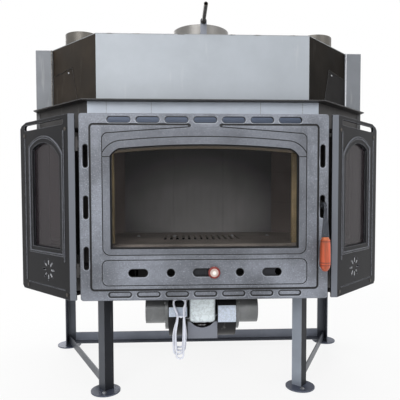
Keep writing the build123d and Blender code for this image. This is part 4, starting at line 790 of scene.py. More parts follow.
@dataclass(frozen=True)
class TurnedWood(Finish):
    """Oiled beech on a turned handle, its grain along the Z axis."""

    dark: Tone = (139, 62, 26)
    scorch: Tone = (88, 34, 14)
    ring_heights: Tuple[float, ...] = (0.504, 0.441, 0.433)
    ring_line: Pair = (0.0022, 0.0008)

    def shade(self, graph: Graph) -> None:
        """Stretched grain with darker pores and painted shade in its ring grooves, under a clear coat.

        Args:
            graph: Graph of the material.
        """
        grain = graph.noise(110.0, detail=4.0, vector=graph.stretched((1.0, 1.0, 0.06)), rough=0.6)
        pores = graph.noise(520.0, vector=graph.stretched((1.0, 1.0, 0.05)))
        colour = graph.mix(grain.step(0.35, 0.7), self.tone, self.dark)
        colour = graph.mix(pores.step(0.6, 0.75) * 0.6, colour, self.dark)
        # Painted shade in the ring grooves.
        _, _, height = graph.split(graph.place())
        ring_shade: Number = 0.0
        for ring in self.ring_heights:
            ring_shade = abs(height - ring).step(*self.ring_line) + ring_shade
        colour = graph.mix(ring_shade * 0.75, colour, self.scorch)
        normal = graph.bump(grain + pores * 0.6, 0.25, 0.0004)
        graph.surface(Base_Color=colour, Roughness=0.38, Normal=normal, Coat_Weight=0.35, Coat_Roughness=0.1)


@dataclass(frozen=True)
class BareMetal(Finish):
    """Zinc-plated, brushed or bright steel with fine drawn lines."""

    rough: float = 0.3
    metal: float = 0.9
    along: Point = (0.1, 1.0, 1.0)
    stain: Tone = (96, 92, 86)

    def shade(self, graph: Graph) -> None:
        """Fine lines with faint stains.

        Args:
            graph: Graph of the material.
        """
        lines = graph.noise(700.0, vector=graph.stretched(self.along))
        stains = graph.noise(18.0, detail=4.0, rough=0.6).step(0.45, 0.8)
        colour = graph.mix(stains * 0.45, self.tone, self.stain)
        rough = self.rough + (lines - 0.5) * 0.25
        normal = graph.bump(lines, 0.3, 0.00012)
        graph.surface(Base_Color=colour, Roughness=rough, Metallic=self.metal, Normal=normal)


@dataclass(frozen=True)
class MouldedPlastic(Finish):
    """Moulded plastic or cable skin with a faint texture and dull patches."""

    rough: float = 0.45
    scatter: float = 0.06
    texture: float = 0.00008

    def shade(self, graph: Graph) -> None:
        """Even colour with a fine skin.

        Args:
            graph: Graph of the material.
        """
        fine = graph.noise(800.0)
        patches = graph.noise(30.0, detail=3.0)
        colour = graph.mix(patches.step(0.35, 0.7), scaled(self.tone, 1 - self.scatter * 2), self.tone)
        rough = self.rough + (patches - 0.5) * 0.16
        normal = graph.bump(fine + patches, 0.3, self.texture)
        graph.surface(Base_Color=colour, Roughness=rough, Normal=normal)


@dataclass(frozen=True)
class CrinkledFoil(Finish):
    """Pale insulating foil with fine creases and a milky sheen."""

    crease: float = 0.0012
    metal: float = 0.15
    shadow: Tone = (150, 158, 156)

    def shade(self, graph: Graph) -> None:
        """Creased film, darker in its folds.

        Args:
            graph: Graph of the material.
        """
        folds = graph.noise(48.0, detail=5.0, rough=0.7)
        creases = abs(folds - 0.5).step(0.06, 0.0)
        colour = graph.mix(creases * 0.35, self.tone, self.shadow)
        bright = tuple(min(250.0, part * 1.12 + 6) for part in self.tone)
        colour = graph.mix(graph.noise(160.0).step(0.6, 0.8) * 0.25, colour, bright)
        normal = graph.bump(folds - creases * 0.3, 0.5, self.crease)
        graph.surface(Base_Color=colour, Roughness=0.42, Metallic=self.metal, Normal=normal)


@dataclass(frozen=True)
class Enamel(Finish):
    """Knob with a glossy red-brown ring round its pale metal centre."""

    dark: Tone = (84, 26, 20)
    disc: Tone = (196, 176, 168)
    centre: Tone = (240, 236, 230)
    place: Pair = (0.026, 0.4095)
    ring: float = 0.0125
    ring_fade: float = 0.0006
    centre_fade: Pair = (0.0075, 0.0035)

    def shade(self, graph: Graph) -> None:
        """Three colours parted by the distance from the knob's axis.

        Args:
            graph: Graph of the material.
        """
        x, _, z = graph.split(graph.place())
        away = ((x - self.place[0]) ** 2.0 + (z - self.place[1]) ** 2.0).root()
        specks = graph.noise(300.0, detail=3.0)
        rim = graph.mix(specks.step(0.4, 0.75), self.tone, self.dark)
        disc = graph.mix(away.step(*self.centre_fade), self.disc, self.centre)
        colour = graph.mix(away.step(self.ring + self.ring_fade, self.ring - self.ring_fade), rim, disc)
        normal = graph.bump(specks, 0.2, 0.0001)
        graph.surface(Base_Color=colour, Roughness=0.22 + specks * 0.15, Normal=normal, Coat_Weight=0.5)


@dataclass(frozen=True)
class Woven(Finish):
    """Glass-fibre tape or rope with crossing threads."""

    pitch: float = 900.0
    light: Tone = (150, 146, 138)

    def shade(self, graph: Graph) -> None:
        """Two crossing sets of threads.

        Args:
            graph: Graph of the material.
        """
        x, y, z = graph.split(graph.place())
        warp = ((x + y + z) * self.pitch * 2).sine()
        weft = ((x - z + y * 0.3) * self.pitch * 2).sine()
        threads = (warp * weft) * 0.5 + 0.5
        fuzz = graph.noise(600.0, detail=3.0)
        colour = graph.mix(threads * 0.6 + fuzz * 0.2, self.tone, self.light)
        normal = graph.bump(threads + fuzz * 0.4, 0.6, 0.0005)
        graph.surface(Base_Color=colour, Roughness=0.92, Normal=normal)


@dataclass(frozen=True)
class Laminations(Finish):
    """Stacked sheets of a motor core, seen as fine dark lines across X."""

    pitch: float = 3600.0
    rust: Tone = (92, 58, 40)

    def shade(self, graph: Graph) -> None:
        """Lines of the sheets with a little rust and oil.

        Args:
            graph: Graph of the material.
        """
        x, _, _ = graph.split(graph.place())
        sheets = (x * self.pitch).sine() * 0.5 + 0.5
        colour = graph.mix(sheets, scaled(self.tone, 0.45), self.tone)
        colour = graph.mix(graph.noise(45.0, detail=4.0).step(0.5, 0.75) * 0.35, colour, self.rust)
        normal = graph.bump(sheets, 0.5, 0.0004)
        graph.surface(Base_Color=colour, Roughness=0.5, Metallic=0.5, Normal=normal)


@dataclass(frozen=True)
class WeldSkin(Finish):
    """Weld bead and the heat marks beside it."""

    bright: Tone = (168, 166, 160)

    def shade(self, graph: Graph) -> None:
        """Dark scale with bright spatter.

        Args:
            graph: Graph of the material.
        """
        scale = graph.noise(260.0, detail=4.0, rough=0.7)
        colour = graph.mix(scale.step(0.4, 0.7), self.tone, self.bright)
        normal = graph.bump(scale, 0.8, 0.001)
        graph.surface(Base_Color=colour, Roughness=0.55, Metallic=0.5, Normal=normal)


HOOD_SHEET = SheetPaint("hood_sheet", (163, 169, 176), rough=0.45, metal=0.1, cloud=0.05)
# Darker copy of the hood's paint on its set-back faces, as painted shade.
HOOD_REAR_SHADE = SheetPaint("hood_rear_sheet", (112, 116, 122), rough=0.45, metal=0.1, cloud=0.08)
HOOD_LID = SheetPaint("hood_lid", (150, 154, 158), rough=0.45, metal=0.2, cloud=0.1)
# Painted shade and dark reflection on the slanted corners and their patches: the same sheet as the hood,
# brown on the left and near black on the right.
SLANT_LEFT_SHADE = SheetPaint("slant_left_sheet", (50, 41, 31), rough=0.5, metal=0.0, cloud=0.3,
                        shine=0.16, streak=0.03, edge=(120, 116, 110))
SLANT_RIGHT_SHADE = SheetPaint("slant_right_sheet", (28, 24, 20), rough=0.6, metal=0.0, cloud=0.3,
                         shine=0.06, streak=0.02, edge=(90, 86, 82))
PATCH_LEFT_SHADE = SheetPaint("patch_sheet_left", (54, 47, 40), rough=0.55, metal=0.0, cloud=0.3,
                        shine=0.12, streak=0.03)
PATCH_RIGHT_SHADE = SheetPaint("patch_sheet_right", (24, 22, 22), rough=0.55, metal=0.0, cloud=0.3,
                         shine=0.12, streak=0.03)
BODY_SHEET = BandPaint("body_sheet", (178, 186, 198), rough=0.45, metal=0.15, cloud=0.07)
FLANGE_SHEET = SheetPaint("flange_sheet", (50, 48, 48), rough=0.5, metal=0.3, cloud=0.18)
COLLAR_SHEET = SheetPaint("collar_sheet", (136, 134, 131), rough=0.36, metal=0.55)
OUTLET_SHEET = SheetPaint("outlet_sheet", (104, 100, 94), rough=0.4, metal=0.4, cloud=0.2)
CASING_SHEET = SheetPaint("casing_sheet", (68, 69, 71), rough=0.45, streak=0.05)
DARK_SHEET = SheetPaint("dark_sheet", (52, 50, 50), rough=0.5, metal=0.3, cloud=0.2, edge=(120, 118, 116))
MATT_SHEET = SheetPaint("matt_sheet", (44, 42, 42), rough=0.85, metal=0.0, cloud=0.15, shine=0.1,
                        grain=0.00001)
SHUTTER_SHEET = SheetPaint("shutter_sheet", (28, 30, 36), rough=0.6, metal=0.0, cloud=0.1, shine=0.3)
STAND_STEEL = SheetPaint("stand_steel", (76, 80, 89), rough=0.4, metal=0.35, cloud=0.15, edge=(170, 176, 186))
# Lit and shaded copies of the stand steel, as painted light and shade on faces of the legs, and a lit copy on
# the crossbar's upright face.
LEG_LIT = SheetPaint("leg_bright_steel", (150, 158, 170), rough=0.4, metal=0.2, cloud=0.1)
LEG_SHADE = SheetPaint("leg_shade_steel", (30, 32, 38), rough=0.5, metal=0.0, cloud=0.15, shine=0.2)
BAR_LIT = SheetPaint("bar_steel", (142, 148, 162), rough=0.4, metal=0.2)
PAD_STEEL = SheetPaint("pad_steel", (92, 98, 116), metal=0.3, cloud=0.2, edge=(140, 145, 152))
SPIGOT_STEEL = SheetPaint("spigot_steel", (128, 130, 131), rough=0.34, metal=0.6, cloud=0.14,
                          cloud_scale=16.0)
SCROLL_STEEL = SheetPaint("scroll_steel", (13, 13, 16), rough=0.45, metal=0.0, cloud=0.2,
                          shine=0.25, edge=(84, 88, 98))
BRACKET_STEEL = SheetPaint("bracket_steel", (124, 128, 138), rough=0.45, metal=0.2, cloud=0.08)
# The door's, side frames' and lever's light edge tones add a painted highlight to their rubbed edges.
DOOR_IRON = DoorIron("door_iron", (117, 121, 130), edge=(186, 192, 203), edge_share=0.7, dark_share=0.26,
                     pits=0.0006, grain_scale=270.0)
SIDE_IRON = FrameIron("side_iron", (21, 21, 24), edge=(168, 172, 182), edge_share=0.85, edge_reach=0.002,
                      metal=0.05, grain_tone=(52, 52, 56), shine=0.16)
HEARTH_IRON = CastIron("hearth_iron", (140, 131, 124), edge=(130, 124, 118), edge_share=0.3)
LEVER_IRON = CastIron("lever_iron", (48, 51, 58), edge=(180, 186, 196), rough=0.36, metal=0.5)
WINDOW_GLASS = DoorGlass("window_glass", (20, 20, 22), alpha=0.08)
SIDE_GLASS = FireGlass("side_glass", (58, 52, 56), alpha=0.5, rough=0.12, shine=0.3)
# The back board is darkened away from the middle of the fire, as painted shade.
BACK_BOARD = Brick("back_board", (160, 158, 158), speck=(168, 160, 156), fleck=0.05, streak=0.5, cloud=0.08,
                   relief=0.0002, outer_shade=0.8)
SIDE_BRICK = Brick("side_brick", (114, 104, 100), speck=(120, 106, 98), fleck=0.06, streak=0.2, cloud=0.15,
                   relief=0.0002)
POST_STONE = Brick("post_stone", (168, 148, 112), speck=(180, 164, 132), fleck=0.06, relief=0.0002)
GRIP_WOOD = TurnedWood("grip_wood", (204, 80, 36))
FERRULE_METAL = BareMetal("ferrule_metal", (188, 106, 70), metal=0.3, rough=0.35, stain=(140, 66, 36))
ZINC = BareMetal("zinc", (176, 178, 182))
DARK_BOLT = BareMetal("dark_bolt", (70, 66, 62), rough=0.45, metal=0.7)
BLACK_PLASTIC = MouldedPlastic("bush_plastic", (22, 22, 24))
CABLE_SKIN = MouldedPlastic("cable_skin", (226, 229, 240), rough=0.36, scatter=0.02, texture=0.00004)
WIRE_BROWN = MouldedPlastic("wire_brown", (98, 56, 34))
WIRE_BLUE = MouldedPlastic("wire_blue", (40, 74, 140))
WIRE_GREEN = MouldedPlastic("wire_green", (96, 130, 44))
WINDING = MouldedPlastic("winding", (58, 34, 24), rough=0.3)
COVER_FOIL = CrinkledFoil("cover_foil", (232, 242, 246))
# Dark crumpled sheet in the gap behind the motor bracket's notch, as painted shade.
APRON_SHADE_FOIL = CrinkledFoil("apron_foil", (44, 44, 48), crease=0.002, metal=0.5, shadow=(20, 20, 22))
BAND_FOIL = CrinkledFoil("band_foil", (206, 216, 232), crease=0.0004, metal=0.3)
KNOB_ENAMEL = Enamel("knob_paint", (136, 38, 30))
SEAL_ROPE = Woven("seal_rope", (66, 64, 62), pitch=700.0, light=(124, 120, 114))
GASKET_TAPE = Woven("gasket_tape", (88, 86, 82), pitch=1100.0)
MOTOR_CORE = Laminations("motor_core", (110, 108, 106))
WELD = WeldSkin("weld", (58, 56, 56))
SCORCH = WeldSkin("scorch", (16, 14, 12), bright=(70, 63, 54))


# Mesh tools


def linked(name: str, data: bpy.types.ID) -> bpy.types.Object:
    """Puts an object into the scene.

    Args:
        name: Name of the object.
        data: Its mesh, curve, lamp or camera.

    Returns:
        The new object.
    """
    obj = bpy.data.objects.new(name, data)
    bpy.context.scene.collection.objects.link(obj)
    return obj


def meshed(name: str, shape: Shape) -> bpy.types.Mesh:
    """Makes a mesh from a shape.

    Args:
        name: Name of the mesh.
        shape: Corners in metres, and the faces between them.

    Returns:
        The new mesh.
    """
    mesh = bpy.data.meshes.new(name)
    mesh.from_pydata([tuple(corner) for corner in shape[0]], [], [tuple(face) for face in shape[1]])
    return mesh


def piece(name: str, shape: Shape, finish: Finish, body: Body,
          smooth: bool = True) -> bpy.types.Object:
    """Makes one object of the model from its corners and faces.

    Args:
        name: Name of the piece.
        shape: Corners in metres, and the faces between them.
        finish: Finish of the whole piece.
        body: Body that the piece rides on.
        smooth: Whether its faces are shaded smooth where they meet softly.

    Returns:
        The new object.
    """
    mesh = meshed(name, shape)
    mesh.materials.append(finish.material())
    mesh.validate()
    obj = linked(name, mesh)
    if smooth:
        mesh.shade_smooth()
        mesh.set_sharp_from_angle(angle=math.radians(35))
    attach(obj, body.value)
    return obj


def joined(shapes: Iterable[Shape]) -> Shape:
    """Several shapes as one.

    Args:
        shapes: Shapes to put together.

    Returns:
        The corners and faces of them all.
    """
    corners: List[Vector] = []
    faces: List[Sequence[int]] = []
    for more_corners, more_faces in shapes:
        start = len(corners)
        corners += more_corners
        faces += [[start + index for index in face] for face in more_faces]
    return corners, faces


def moved(shape: Shape, matrix: Matrix) -> Shape:
    """A shape under a matrix, its faces turned over where the matrix mirrors it.

    Args:
        shape: Shape to move.
        matrix: Turn, mirror and move.

    Returns:
        The moved shape.
    """
    corners, faces = shape
    flip = matrix.determinant() < 0
    return [matrix @ corner for corner in corners], [list(reversed(face)) if flip else face for face in faces]


def grid(rows: Sequence[Sequence[Vector]], closed: bool = False) -> Shape:
    """Sheet through rows of points.

    Args:
        rows: Rows with as many points each.
        closed: Whether the sheet closes round each row.

    Returns:
        Corners and faces of the sheet.
    """
    width = len(rows[0])
    corners = [point for row in rows for point in row]
    faces: List[Sequence[int]] = []
    for row in range(len(rows) - 1):
        for column in range(width if closed else width - 1):
            after = (column + 1) % width
            low, high = row * width, (row + 1) * width
            faces.append([low + column, low + after, high + after, high + column])
    return corners, faces


def capped(rows: Sequence[Sequence[Vector]]) -> Shape:
    """Solid through closed rows of points, with a face on its first and last row.

    Args:
        rows: Rows with as many points each.

    Returns:
        Corners and faces of the solid.
    """
    corners, faces = grid(rows, closed=True)
    width, last = len(rows[0]), len(corners) - len(rows[0])
    return corners, faces + [list(range(width))[::-1], list(range(last, last + width))]


def turned(profile: Sequence[Pair], sides: int = 24) -> Shape:
    """Solid turned about Z from a profile of radius and height, closed at its ends.

    Args:
        profile: Pairs of radius and height, from one end to the other.
        sides: Number of faces round the axis.

    Returns:
        Corners and faces of the solid.
    """
    angles = [2 * math.pi * side / sides for side in range(sides)]
    return capped([[Vector((radius * math.cos(angle), radius * math.sin(angle), height)) for angle in angles]
                   for radius, height in profile])


def block(low: Point, high: Point, bevel: float = 0.0) -> Shape:
    """Block between two corners, with its upright edges cut where a bevel is given.

    Args:
        low: Lowest corner.
        high: Highest corner.
        bevel: Width of the cut edges.

    Returns:
        Corners and faces of the block.
    """
    (x0, y0, z0), (x1, y1, z1) = low, high
    ring = [(x0, y0), (x1, y0), (x1, y1), (x0, y1)]
    if bevel:
        ring = [(x0 + bevel, y0), (x1 - bevel, y0), (x1, y0 + bevel), (x1, y1 - bevel),
                (x1 - bevel, y1), (x0 + bevel, y1), (x0, y1 - bevel), (x0, y0 + bevel)]
    return capped([[Vector((x, y, z)) for x, y in ring] for z in (z0, z1)])


def tube(path: Sequence[Vector], radius: Callable[[float, float], float], sides: int = 10,
         closed: bool = False) -> Shape:
    """Round tube along a path, its radius a function of the share along it and the angle.

    Args:
        path: Points of the middle line.
        radius: Radius from the share along the path and the angle round it.
        sides: Number of faces round the tube.
        closed: Whether the path is a ring.

    Returns:
        Corners and faces of the tube.
    """
    count = len(path)
    rows: List[List[Vector]] = []
    side_way = Vector((0.0, 0.0, 0.0))
    for place, point in enumerate(path):
        before = path[place - 1] if place or closed else point
        after = path[(place + 1) % count] if place < count - 1 or closed else point
        along = (after - before).normalized()
        if not side_way.length:
            side_way = along.orthogonal()
        side_way = (side_way - along * side_way.dot(along)).normalized()
        up_way = along.cross(side_way)
        row = []
        for side in range(sides):
            angle = 2 * math.pi * side / sides
            reach = radius(place / max(1, count - 1), angle)
            row.append(point + (side_way * math.cos(angle) + up_way * math.sin(angle)) * reach)
        rows.append(row)
    return grid(rows + rows[:1], closed=True) if closed else capped(rows)


def even_tube(path: Sequence[Vector], radius: float, sides: int) -> Shape:
    """Tube of one radius along a path."""
    return tube(path, lambda share, angle: radius, sides)


def beaded_tube(path: Sequence[Vector], radius: float, girths: Sequence[float]) -> Shape:
    """Tube whose radius changes from point to point, by the share given for each."""
    last = len(girths) - 1
    return tube(path, lambda share, angle: radius * girths[round(share * last)], 8)


def smooth_path(points: Sequence[Vector], steps: int = 6) -> List[Vector]:
    """Smooth line through points, by Catmull-Rom steps between them.

    Args:
        points: Points that the line goes through.
        steps: Steps from one point to the next.

    Returns:
        Points of the line.
    """
    last = len(points) - 1
    line: List[Vector] = []
    for span in range(last):
        near = [points[max(0, min(last, span + shift))] for shift in (-1, 0, 1, 2)]
        for step in range(steps):
            t = step / steps
            line.append(0.5 * ((2 * near[1]) + (near[2] - near[0]) * t
                               + (2 * near[0] - 5 * near[1] + 4 * near[2] - near[3]) * t * t
                               + (3 * near[1] - near[0] - 3 * near[2] + near[3]) * t * t * t))
    line.append(points[-1].copy())
    return line


def smooth_rise(value: float, low: float, high: float) -> float:
    """Smooth rise from 0 at low to 1 at high."""
    share = min(1.0, max(0.0, (value - low) / (high - low)))
    return share * share * (3 - 2 * share)


def flat_ring(low: Sequence[float], high: Sequence[float], width: float) -> Shape:
    """Flat tape laid in a rounded rectangle in X and Z, with softly rounded edges.

    Args:
        low: Lowest corner of the tape.
        high: Highest corner of the tape.
        width: Width of the tape.

    Returns:
        Corners and faces of the tape.
    """
    middle = (low[1] + high[1]) / 2
    thick = (high[1] - low[1]) / 2 * 0.96
    section = [(0.0, -0.6), (0.04, -1.0), (0.5, -1.0), (0.96, -1.0), (1.0, -0.6),
               (1.0, 0.6), (0.96, 1.0), (0.5, 1.0), (0.04, 1.0), (0.0, 0.6)]
    corner = 0.006
    rows: List[List[Vector]] = []
    spots = ((high[0], high[2], 0), (low[0], high[2], 90), (low[0], low[2], 180), (high[0], low[2], 270))
    for x, z, start in spots:
        out_x, out_z = (math.copysign(1.0, way(math.radians(start + 45))) for way in (math.cos, math.sin))
        centre_x, centre_z = x - math.copysign(corner, x), z - corner * out_z
        for step in range(5):
            angle = math.radians(start + 90 * step / 4)
            row = []
            for share, height in section:
                reach = corner - share * width
                way_x, way_z = (math.cos(angle), math.sin(angle)) if reach >= 0 else (out_x, out_z)
                row.append(Vector((centre_x + reach * way_x, middle + height * thick,
                                   centre_z + reach * way_z)))
            rows.append(row)
    return grid(rows + rows[:1], closed=True)


WASHER_SEAT = 1.1


class Fastener(Enum):
    """Kinds of bolt, screw and rivet head, each a profile of radius and height in millimetres."""

    HEX = ((5.2, 0.0), (5.2, 3.4), (4.7, 3.9), (0.01, 3.9))
    WASHER = ((7.0, 0.0), (7.4, 0.25), (7.4, 0.9), (7.0, 1.15), (0.01, 1.15))
    PAN = ((3.9, 0.0), (3.9, 0.7), (3.3, 1.7), (2.0, 2.2), (1.6, 2.2), (1.5, 1.2), (0.01, 1.2))
    RIVET = ((3.1, 0.0), (2.9, 0.7), (2.2, 1.3), (1.1, 1.65), (0.01, 1.7))

    def head(self, place: Point, way: Point, lift: float = 0.0) -> Shape:
        """Head of this kind on a surface.

        Args:
            place: Point of the surface, in metres.
            way: Direction away from the surface.
            lift: Height of the head's seat above the surface, in millimetres.

        Returns:
            Corners and faces of the head.
        """
        sides = 6 if self is Fastener.HEX else 16
        profile = [(radius * MM, (height + lift) * MM) for radius, height in self.value]
        stand = Matrix.Translation(place) @ Vector(way).to_track_quat("Z", "Y").to_matrix().to_4x4()
        return moved(turned(profile, sides), stand)


def heads(name: str, kind: Fastener, places: Sequence[Tuple[Point, Point]], finish: Finish,
          body: Body = Body.CASSETTE) -> None:
    """One piece with a head at each place, and a washer under each hexagon.

    Args:
        name: Name of the piece.
        kind: Kind of the heads.
        places: Point of the surface and the direction away from it, for each head.
        finish: Finish of the heads.
        body: Body that the piece rides on.
    """
    lift = WASHER_SEAT if kind is Fastener.HEX else 0.0
    shapes = [kind.head(place, way, lift) for place, way in places]
    if kind is Fastener.HEX:
        shapes += [Fastener.WASHER.head(place, way) for place, way in places]
    piece(name, joined(shapes), finish, body)


# Sub-assemblies: all sizes and places are in metres


@dataclass
class SteelBody:
    """Firebox shell, casing, flange and stand."""

    back_y: float = 0.344
    flank_x: float = 0.577
    flank_front: float = -0.018
    rivet_inset: float = 0.012
    flank_inset: float = 0.014
    low: float = 0.345
    high: float = 0.915
    flank_rivets: int = 5
    back_rivets: int = 5
    seams: Tuple[float, ...] = (-0.302, -0.164, 0.176, 0.309)
    seam_low: Point = (0.0, -0.2384, 0.889)
    seam_high: Point = (0.0008, -0.2378, 0.9305)
    pads: Tuple[Point, ...] = ((0.3226, -0.1804, 0.005), (0.5511, 0.2811, 0.005))
    pad_reach: float = 0.026

    def build(self) -> None:
        """Dresses the sheets and adds their rivets and the flange seams."""
        BODY_SHEET.dress("firebox_front")
        DARK_SHEET.dress("firebox_wall_left", "firebox_wall_right", "firebox_back", "firebox_floor",
                         "base_plate")
        CASING_SHEET.dress("outer_casing")
        FLANGE_SHEET.dress("flange_plate")
        MATT_SHEET.dress("door_collar", "side_collar_left", "side_collar_right")
        STAND_STEEL.dress("legs", "stand_rails")
        # Painted light and shade: lit and shaded copies of the stand steel on faces of the legs, and a lit
        # copy on the crossbar's upright face.
        LEG_LIT.dress_faces("legs", lambda at, normal: at.x > 0.2 and at.y < -0.1 and normal.y < -0.3)
        LEG_SHADE.dress_faces("legs", lambda at, normal: at.y < -0.1 and normal.x > 0.5 and normal.y < -0.5)
        BAR_LIT.dress_faces("stand_rails", lambda at, normal: at.y > 0.27 and normal.y < -0.9)
        PAD_STEEL.dress("foot_pads")
        self._rivets()
        self._seams()
        self._pad_bolts()

    def _rivets(self) -> None:
        """Rows of rivets that hold the casing."""
        rows: List[Tuple[Point, Point]] = []
        for side in (-1, 1):
            for number in range(self.flank_rivets):
                z = self.low + (self.high - self.low) * number / (self.flank_rivets - 1)
                rows.append(((side * (self.flank_x - self.rivet_inset), self.back_y, z), (0, 1, 0)))
                rows.append(((side * self.flank_x, self.back_y - self.flank_inset, z), (side, 0, 0)))
                rows.append(((side * self.flank_x, self.flank_front, z), (side, 0, 0)))
        for number in range(1, self.back_rivets + 1):
            x = -self.flank_x + 2 * self.flank_x * number / (self.back_rivets + 1)
            rows += [((x, self.back_y, z), (0, 1, 0)) for z in (self.low, self.high)]
        heads("casing_rivets", Fastener.RIVET, rows, ZINC)

    def _seams(self) -> None:
        """Fine folded seams on the band above the door."""
        width, front, low = self.seam_high[0], self.seam_low[1], self.seam_low[2]
        strips = [block((x, front, low), (x + width, *self.seam_high[1:])) for x in self.seams]
        piece("front_seams", joined(strips), WELD, Body.CASSETTE, smooth=False)

    def _pad_bolts(self) -> None:
        """Levelling bolt beside each angle iron."""
        places: List[Tuple[Point, Point]] = []
        for x, y, z in self.pads:
            reach = math.copysign(self.pad_reach, y)
            places += [((side * x, y + reach, z), (0, 0, 1)) for side in (-1, 1)]
        heads("pad_bolts", Fastener.HEX, places, ZINC)


@dataclass
class Hood:
    """Hood with its flue collar, hot-air outlets, seams and damper."""

    front: float = -0.211
    half: float = 0.337
    chamfer: float = 0.181
    low: float = 0.934
    high: float = 1.148
    patch: Tuple[Pair, ...] = ((0.38, 0.004), (0.52, 0.132), (0.985, 0.119), (0.985, 0.004))
    patch_back: float = 0.0002
    patch_face: float = 0.0012
    bead_steps: int = 24
    rise_foot: float = 0.006
    rise_step: float = 0.0085
    seam_out: float = 0.0018
    seam_width: float = 0.0035
    seam_y: Pair = (-0.0045, -0.0003)
    screw: Pair = (0.6, 0.117)
    tacks: Tuple[float, ...] = (-0.292, -0.21, -0.07, 0.09, 0.172, 0.286)
    tack_steps: int = 8
    tack_step: float = 0.0035
    outlet: Point = (0.428, 0.045, 1.150)
    outlet_ring: float = 0.0665
    seed: int = 5

    def build(self) -> None:
        """Dresses the hood and adds its seams, weld beads and rivets."""
        HOOD_SHEET.dress("hood")
        # Painted shade: darker copies of the hood's paint on its set-back faces and its slanted corners.
        HOOD_REAR_SHADE.dress_faces("hood", lambda at, normal: at.y > -0.1 and normal.y < -0.9)
        SLANT_LEFT_SHADE.dress_faces("hood", lambda _, normal: normal.x < -0.4 and normal.y < -0.4)
        SLANT_RIGHT_SHADE.dress_faces("hood", lambda _, normal: normal.x > 0.4 and normal.y < -0.4)
        HOOD_LID.dress("hood_top")
        COLLAR_SHEET.dress("flue_collar")
        OUTLET_SHEET.dress("air_collars")
        BRACKET_STEEL.dress("damper_strap")
        BLACK_PLASTIC.dress("damper_bush")
        DARK_BOLT.dress("damper_rod")
        DARK_SHEET.dress("damper_flap")
        # The corner patches carry the painted shade of the slants they lie on.
        self._corner_patch(Side.LEFT, PATCH_LEFT_SHADE, WELD, bead=2.6 * MM, sway=2.4)
        self._corner_patch(Side.RIGHT, PATCH_RIGHT_SHADE, ZINC, bead=1.2 * MM, sway=1.2)
        self._tacks()
        self._collar_screws()

    def _slant(self, side: Side, share: float, rise: float, out: float) -> Vector:
        """Point on a slanted corner of the hood.

        Args:
            side: Which corner.
            share: Share of the corner's run from the front edge.
            rise: Height above the hood's foot.
            out: Distance outside the sheet.

        Returns:
            The point.
        """
        x = side.value * (self.half + self.chamfer * share + out * DIAGONAL)
        return Vector((x, self.front + self.chamfer * share - out * DIAGONAL, self.low + rise))

    def _corner_patch(self, side: Side, patch: Finish, fold: Finish, bead: float, sway: float) -> None:
        """Welded patch of a slanted corner: a thin plate, its beads, its rivet and the folded rear seam.

        Args:
            side: Which corner.
            patch: Finish of the plate.
            fold: Finish of the folded seam.
            bead: Largest radius of the bead on the plate's upper edge.
            sway: How far the bead strays up and down, in millimetres.
        """
        name = side.name.lower()
        source = random.Random(self.seed + side.value)
        near = [self._slant(side, share, rise, self.patch_back) for share, rise in self.patch]
        far = [self._slant(side, share, rise, self.patch_face) for share, rise in self.patch]
        faces = [[0, 1, 2, 3], [7, 6, 5, 4], [0, 4, 5, 1], [1, 5, 6, 2], [2, 6, 7, 3], [3, 7, 4, 0]]
        piece(f"hood_patch_{name}", (near + far, faces), patch, Body.CASSETTE, smooth=False)
        (start, start_rise), (end, end_rise) = self.patch[1:3]
        shares = [step / self.bead_steps for step in range(self.bead_steps + 1)]
        run = [self._slant(side, start + (end - start) * share, start_rise + (end_rise - start_rise) * share,
                           self.patch_face) for share in shares]
        run = [point + Vector((0, 0, source.uniform(-sway, sway) * MM)) for point in run]
        beads = [beaded_tube(run, bead, [source.uniform(0.6, 1.0) for _ in run])]
        if side is Side.LEFT:
            rise = [self._slant(side, end - source.uniform(0.0, 0.018),
                                self.rise_foot + self.rise_step * step, self.patch_face)
                    for step in range(self.bead_steps)]
            beads.append(beaded_tube(rise, 1.9 * MM, [source.uniform(0.5, 1.0) for _ in rise]))
        inner = side.value * (self.half + self.chamfer + self.seam_out)
        left, right = sorted((inner, inner + side.value * self.seam_width))
        front, rear = (self.front + self.chamfer + shift for shift in self.seam_y)
        seam = block((left, front, self.low), (right, rear, self.high - MM))
        piece(f"hood_seam_{name}", seam, fold, Body.CASSETTE, smooth=False)
        piece(f"hood_bead_{name}", joined(beads), SCORCH, Body.CASSETTE)
        screw = self._slant(side, *self.screw, self.patch_face)
        way = (side.value * DIAGONAL, -DIAGONAL, 0.0)
        heads(f"hood_screw_{name}", Fastener.RIVET, [(tuple(screw), way)], ZINC)

    def _tacks(self) -> None:
        """Short weld runs along the front edge of the top sheet."""
        source = random.Random(self.seed)
        runs = []
        steps = range(self.tack_steps + 1)
        for middle in self.tacks:
            points = [Vector((middle + (step - self.tack_steps / 2) * self.tack_step, self.front + 0.0002,
                              self.high - 0.0008)) for step in steps]
            girths = [source.uniform(0.5, 1.0) * math.sin(math.pi * (step + 0.6) / 9.2) for step in steps]
            runs.append(beaded_tube(points, 1.5 * MM, girths))
        piece("hood_tacks", joined(runs), WELD, Body.CASSETTE)

    def _collar_screws(self) -> None:
        """Rivets through the flanges of the hot-air outlets."""
        places: List[Tuple[Point, Point]] = []
        x, y, z = self.outlet
        for side in (-1, 1):
            for across, up in ring_of_six(self.outlet_ring):
                places.append(((side * x + across, y + up, z), (0, 0, 1)))
        heads("outlet_rivets", Fastener.RIVET, places, ZINC)


def ring_of_six(radius: float) -> List[Pair]:
    """Six places on a circle, half a pitch from its axes."""
    angles = [math.radians(30 + 60 * number) for number in range(6)]
    return [(radius * math.cos(angle), radius * math.sin(angle)) for angle in angles]


